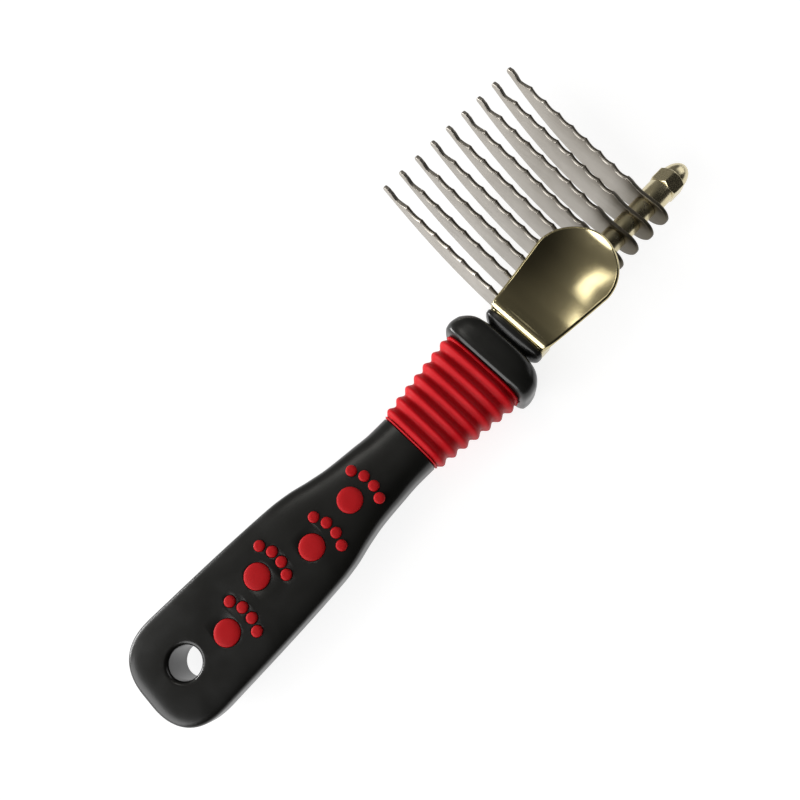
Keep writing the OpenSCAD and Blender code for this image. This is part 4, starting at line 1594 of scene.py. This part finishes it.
@dataclass
class CapNut:
    """The domed six-sided nut that clamps the stack."""

    start: float = span("end_nut")[0][0]
    end: float = span("end_nut")[1][0]
    flats: float = 8.0
    hex_len: float = 4.6
    dome_r: float = 3.7
    bore_r: float = 2.55
    bore_len: float = 7.8
    points: int = 144
    edge: float = 45.0

    def across(self, angle: float) -> float:
        """Gives the six-sided part's radius at an angle, with rounded corners."""
        sides = sum(abs(math.cos(angle - math.radians(a))) ** self.edge for a in (0, 60, 120))
        return self.flats / 2 / sides ** (1 / self.edge)

    def ring(self, x: float, limit: float, round_only: bool = False) -> Ring:
        """Gives a ring at x, no wider than a limit."""
        ring = []
        for i in range(self.points):
            angle = 2 * math.pi * i / self.points
            side = self.across(angle)
            r = limit if round_only else (side ** -self.edge + limit ** -self.edge) ** (-1 / self.edge)
            ring.append((x, r * math.cos(angle), r * math.sin(angle)))
        return ring

    def build(self, shop: "Workshop") -> None:
        """Builds and delivers the nut."""
        corner = self.flats / 2 / math.cos(math.radians(30)) + 0.05
        x0, flat = self.start, self.flats / 2
        piece = MeshPiece("domed_nut")
        rings = [self.ring(x0 + self.bore_len, r, True) for r in (0.4, self.bore_r - 0.3)]
        rings += [self.ring(x0 + self.bore_len - 0.3, self.bore_r, True)]
        rings += [self.ring(x0 + 0.35, self.bore_r, True), self.ring(x0, self.bore_r + 0.35, True)]
        rings += [self.ring(x0, flat - 0.35, True), self.ring(x0, flat - 0.2)]
        rings += [self.ring(x0 + 0.02 + d, flat - 0.1 + 1.5 * d) for d in steps(0, 0.5, 8)]
        rings += [self.ring(x, corner + 0.4) for x in steps(x0 + 0.75, x0 + self.hex_len - 0.75, 6)]
        rings += [self.ring(x0 + self.hex_len - 0.6 + d, corner + 0.3 - 1.5 * d)
                  for d in steps(0, 0.6, 8)]
        dome = self.end - x0 - self.hex_len
        rings += [self.ring(x0 + self.hex_len + 0.03 + (dome - 0.03) * math.sin(math.radians(a)),
                            max(0.1, self.dome_r * math.cos(math.radians(a))))
                  for a in steps(0, 89, 26)]
        piece.loft(rings)
        nut = piece.finish(28)
        shop.deliver(nut, Slot.FITTINGS, "end_nut", "end_nut")


# ---------------------------------------------------------------- the studio


@dataclass
class Studio:
    """The camera, the lights and the pale floor."""

    lens: float = 34.33
    eye: Point = (62.424, -40.424, 197.497)
    forward: Point = (0.10710, 0.24749, -0.96295)
    along: Point = (0.99425, -0.02615, 0.10386)
    down: Point = (0.00053, -0.96854, -0.24887)
    window_side: Point = (-0.25, 0.93, 0.27)
    room_dark: float = 0.02
    room_light: float = 0.25
    floor_reach: float = 3.0
    floor_drop: float = 0.0002
    floor_tone: float = 0.30
    floor_glow: float = 0.85
    aim_at: Point = (0.085, 0.01, 0.0)
    lamps: tuple[tuple[object, ...], ...] = (
        ("window", (0.19, 0.46, 0.83), (0.26, 0.20), 0.5, (1.0, 0.98, 0.92)),
        ("far_wall", (-0.60, 1.0, 0.14), (0.7, 0.20), 12.0, (1.0, 1.0, 1.0)),
        ("left_wall", (-1.0, 0.1, 0.60), (1.3, 1.0), 16.0, (1.0, 1.0, 1.0)),
        ("right_wall", (1.1, -0.1, 0.45), (0.8, 0.6), 2.0, (1.0, 1.0, 1.0)))

    def camera(self) -> None:
        """Places the camera: the handle rises to the right at 45 degrees."""
        along, down = Vector(self.along), Vector(self.down)
        right = (along + down).normalized()
        back = -Vector(self.forward).normalized()
        up = back.cross(right).normalized()
        right = up.cross(back).normalized()
        data = bpy.data.cameras.new("camera")
        data.lens, data.sensor_width, data.clip_start = self.lens, 36.0, 0.01
        camera = bpy.data.objects.new("camera", data)
        turn = Matrix((right, up, back)).transposed().to_4x4()
        camera.matrix_world = Matrix.Translation(Vector(self.eye) * MM) @ turn
        bpy.context.collection.objects.link(camera)
        bpy.context.scene.camera = camera

    def softbox(self, name: str, place: Point, size: tuple[float, float], power: float,
                colour: Colour) -> None:
        """Adds a rectangular light that faces the comb.

        Args:
            name: its name.
            place: where it stands, in metres.
            size: its width and height.
            power: its power in watts.
            colour: its colour.
        """
        data = bpy.data.lights.new(name, "AREA")
        data.shape, data.size, data.size_y = "RECTANGLE", *size
        data.energy, data.color = power, colour
        light = bpy.data.objects.new(name, data)
        light.location = place
        aim = Vector(self.aim_at) - Vector(place)
        light.rotation_euler = aim.to_track_quat("-Z", "Y").to_euler()
        bpy.context.collection.objects.link(light)

    def floor(self) -> None:
        """Lays a pale floor under the comb's lowest point."""
        level, reach, tone = CAD_BOX[0][2] - self.floor_drop, self.floor_reach, self.floor_tone
        mesh = bpy.data.meshes.new("floor")
        mesh.from_pydata([(-reach, -reach, level), (reach, -reach, level), (reach, reach, level),
                          (-reach, reach, level)], [], [(0, 1, 2, 3)])
        floor = bpy.data.objects.new("floor", mesh)
        bpy.context.collection.objects.link(floor)
        s = Shading("pale_floor")
        s.put(Base_Color=(tone, tone, tone, 1.0), Roughness=0.9, Specular_IOR_Level=0.1,
              Emission_Color=(1.0, 1.0, 1.0, 1.0), Emission_Strength=self.floor_glow)
        mesh.materials.append(s.material)

    def sky(self) -> None:
        """Surrounds the comb with a dim room that is brighter towards the window side."""
        world = bpy.data.worlds.new("dim_room")
        world.use_nodes = True
        nt = NodeTree(world.node_tree)
        glow = next(n for n in world.node_tree.nodes if n.type == "BACKGROUND")
        towards = nt.add("ShaderNodeVectorMath", operation="DOT_PRODUCT")
        nt.feed(towards.inputs[0], nt.add("ShaderNodeTexCoord").outputs["Generated"])
        nt.feed(towards.inputs[1], self.window_side)
        spread = nt.add("ShaderNodeMapRange", interpolation_type="SMOOTHSTEP")
        for name, source in (("Value", towards.outputs["Value"]), ("From Min", -0.1),
                             ("From Max", 0.95), ("To Min", self.room_dark),
                             ("To Max", self.room_light)):
            nt.feed(spread.inputs[name], source)
        nt.feed(glow.inputs["Color"], (1.0, 0.97, 0.9, 1.0))
        nt.feed(glow.inputs["Strength"], spread.outputs["Result"])
        bpy.context.scene.world = world

    def build(self) -> None:
        """Builds the whole studio."""
        bpy.context.scene.view_settings.view_transform = "Standard"
        self.camera()
        self.floor()
        self.sky()
        for lamp in self.lamps:
            self.softbox(*lamp)


def main() -> None:
    """Builds the studio and the comb."""
    logging.basicConfig(level=logging.INFO, format="%(message)s")
    Studio().build()
    shop = Workshop()
    for part in (Handle(), Head(), BladeStack(), CapNut()):
        LOG.info("building %s", type(part).__name__)
        part.build(shop)


if __name__ == "__main__":
    main()
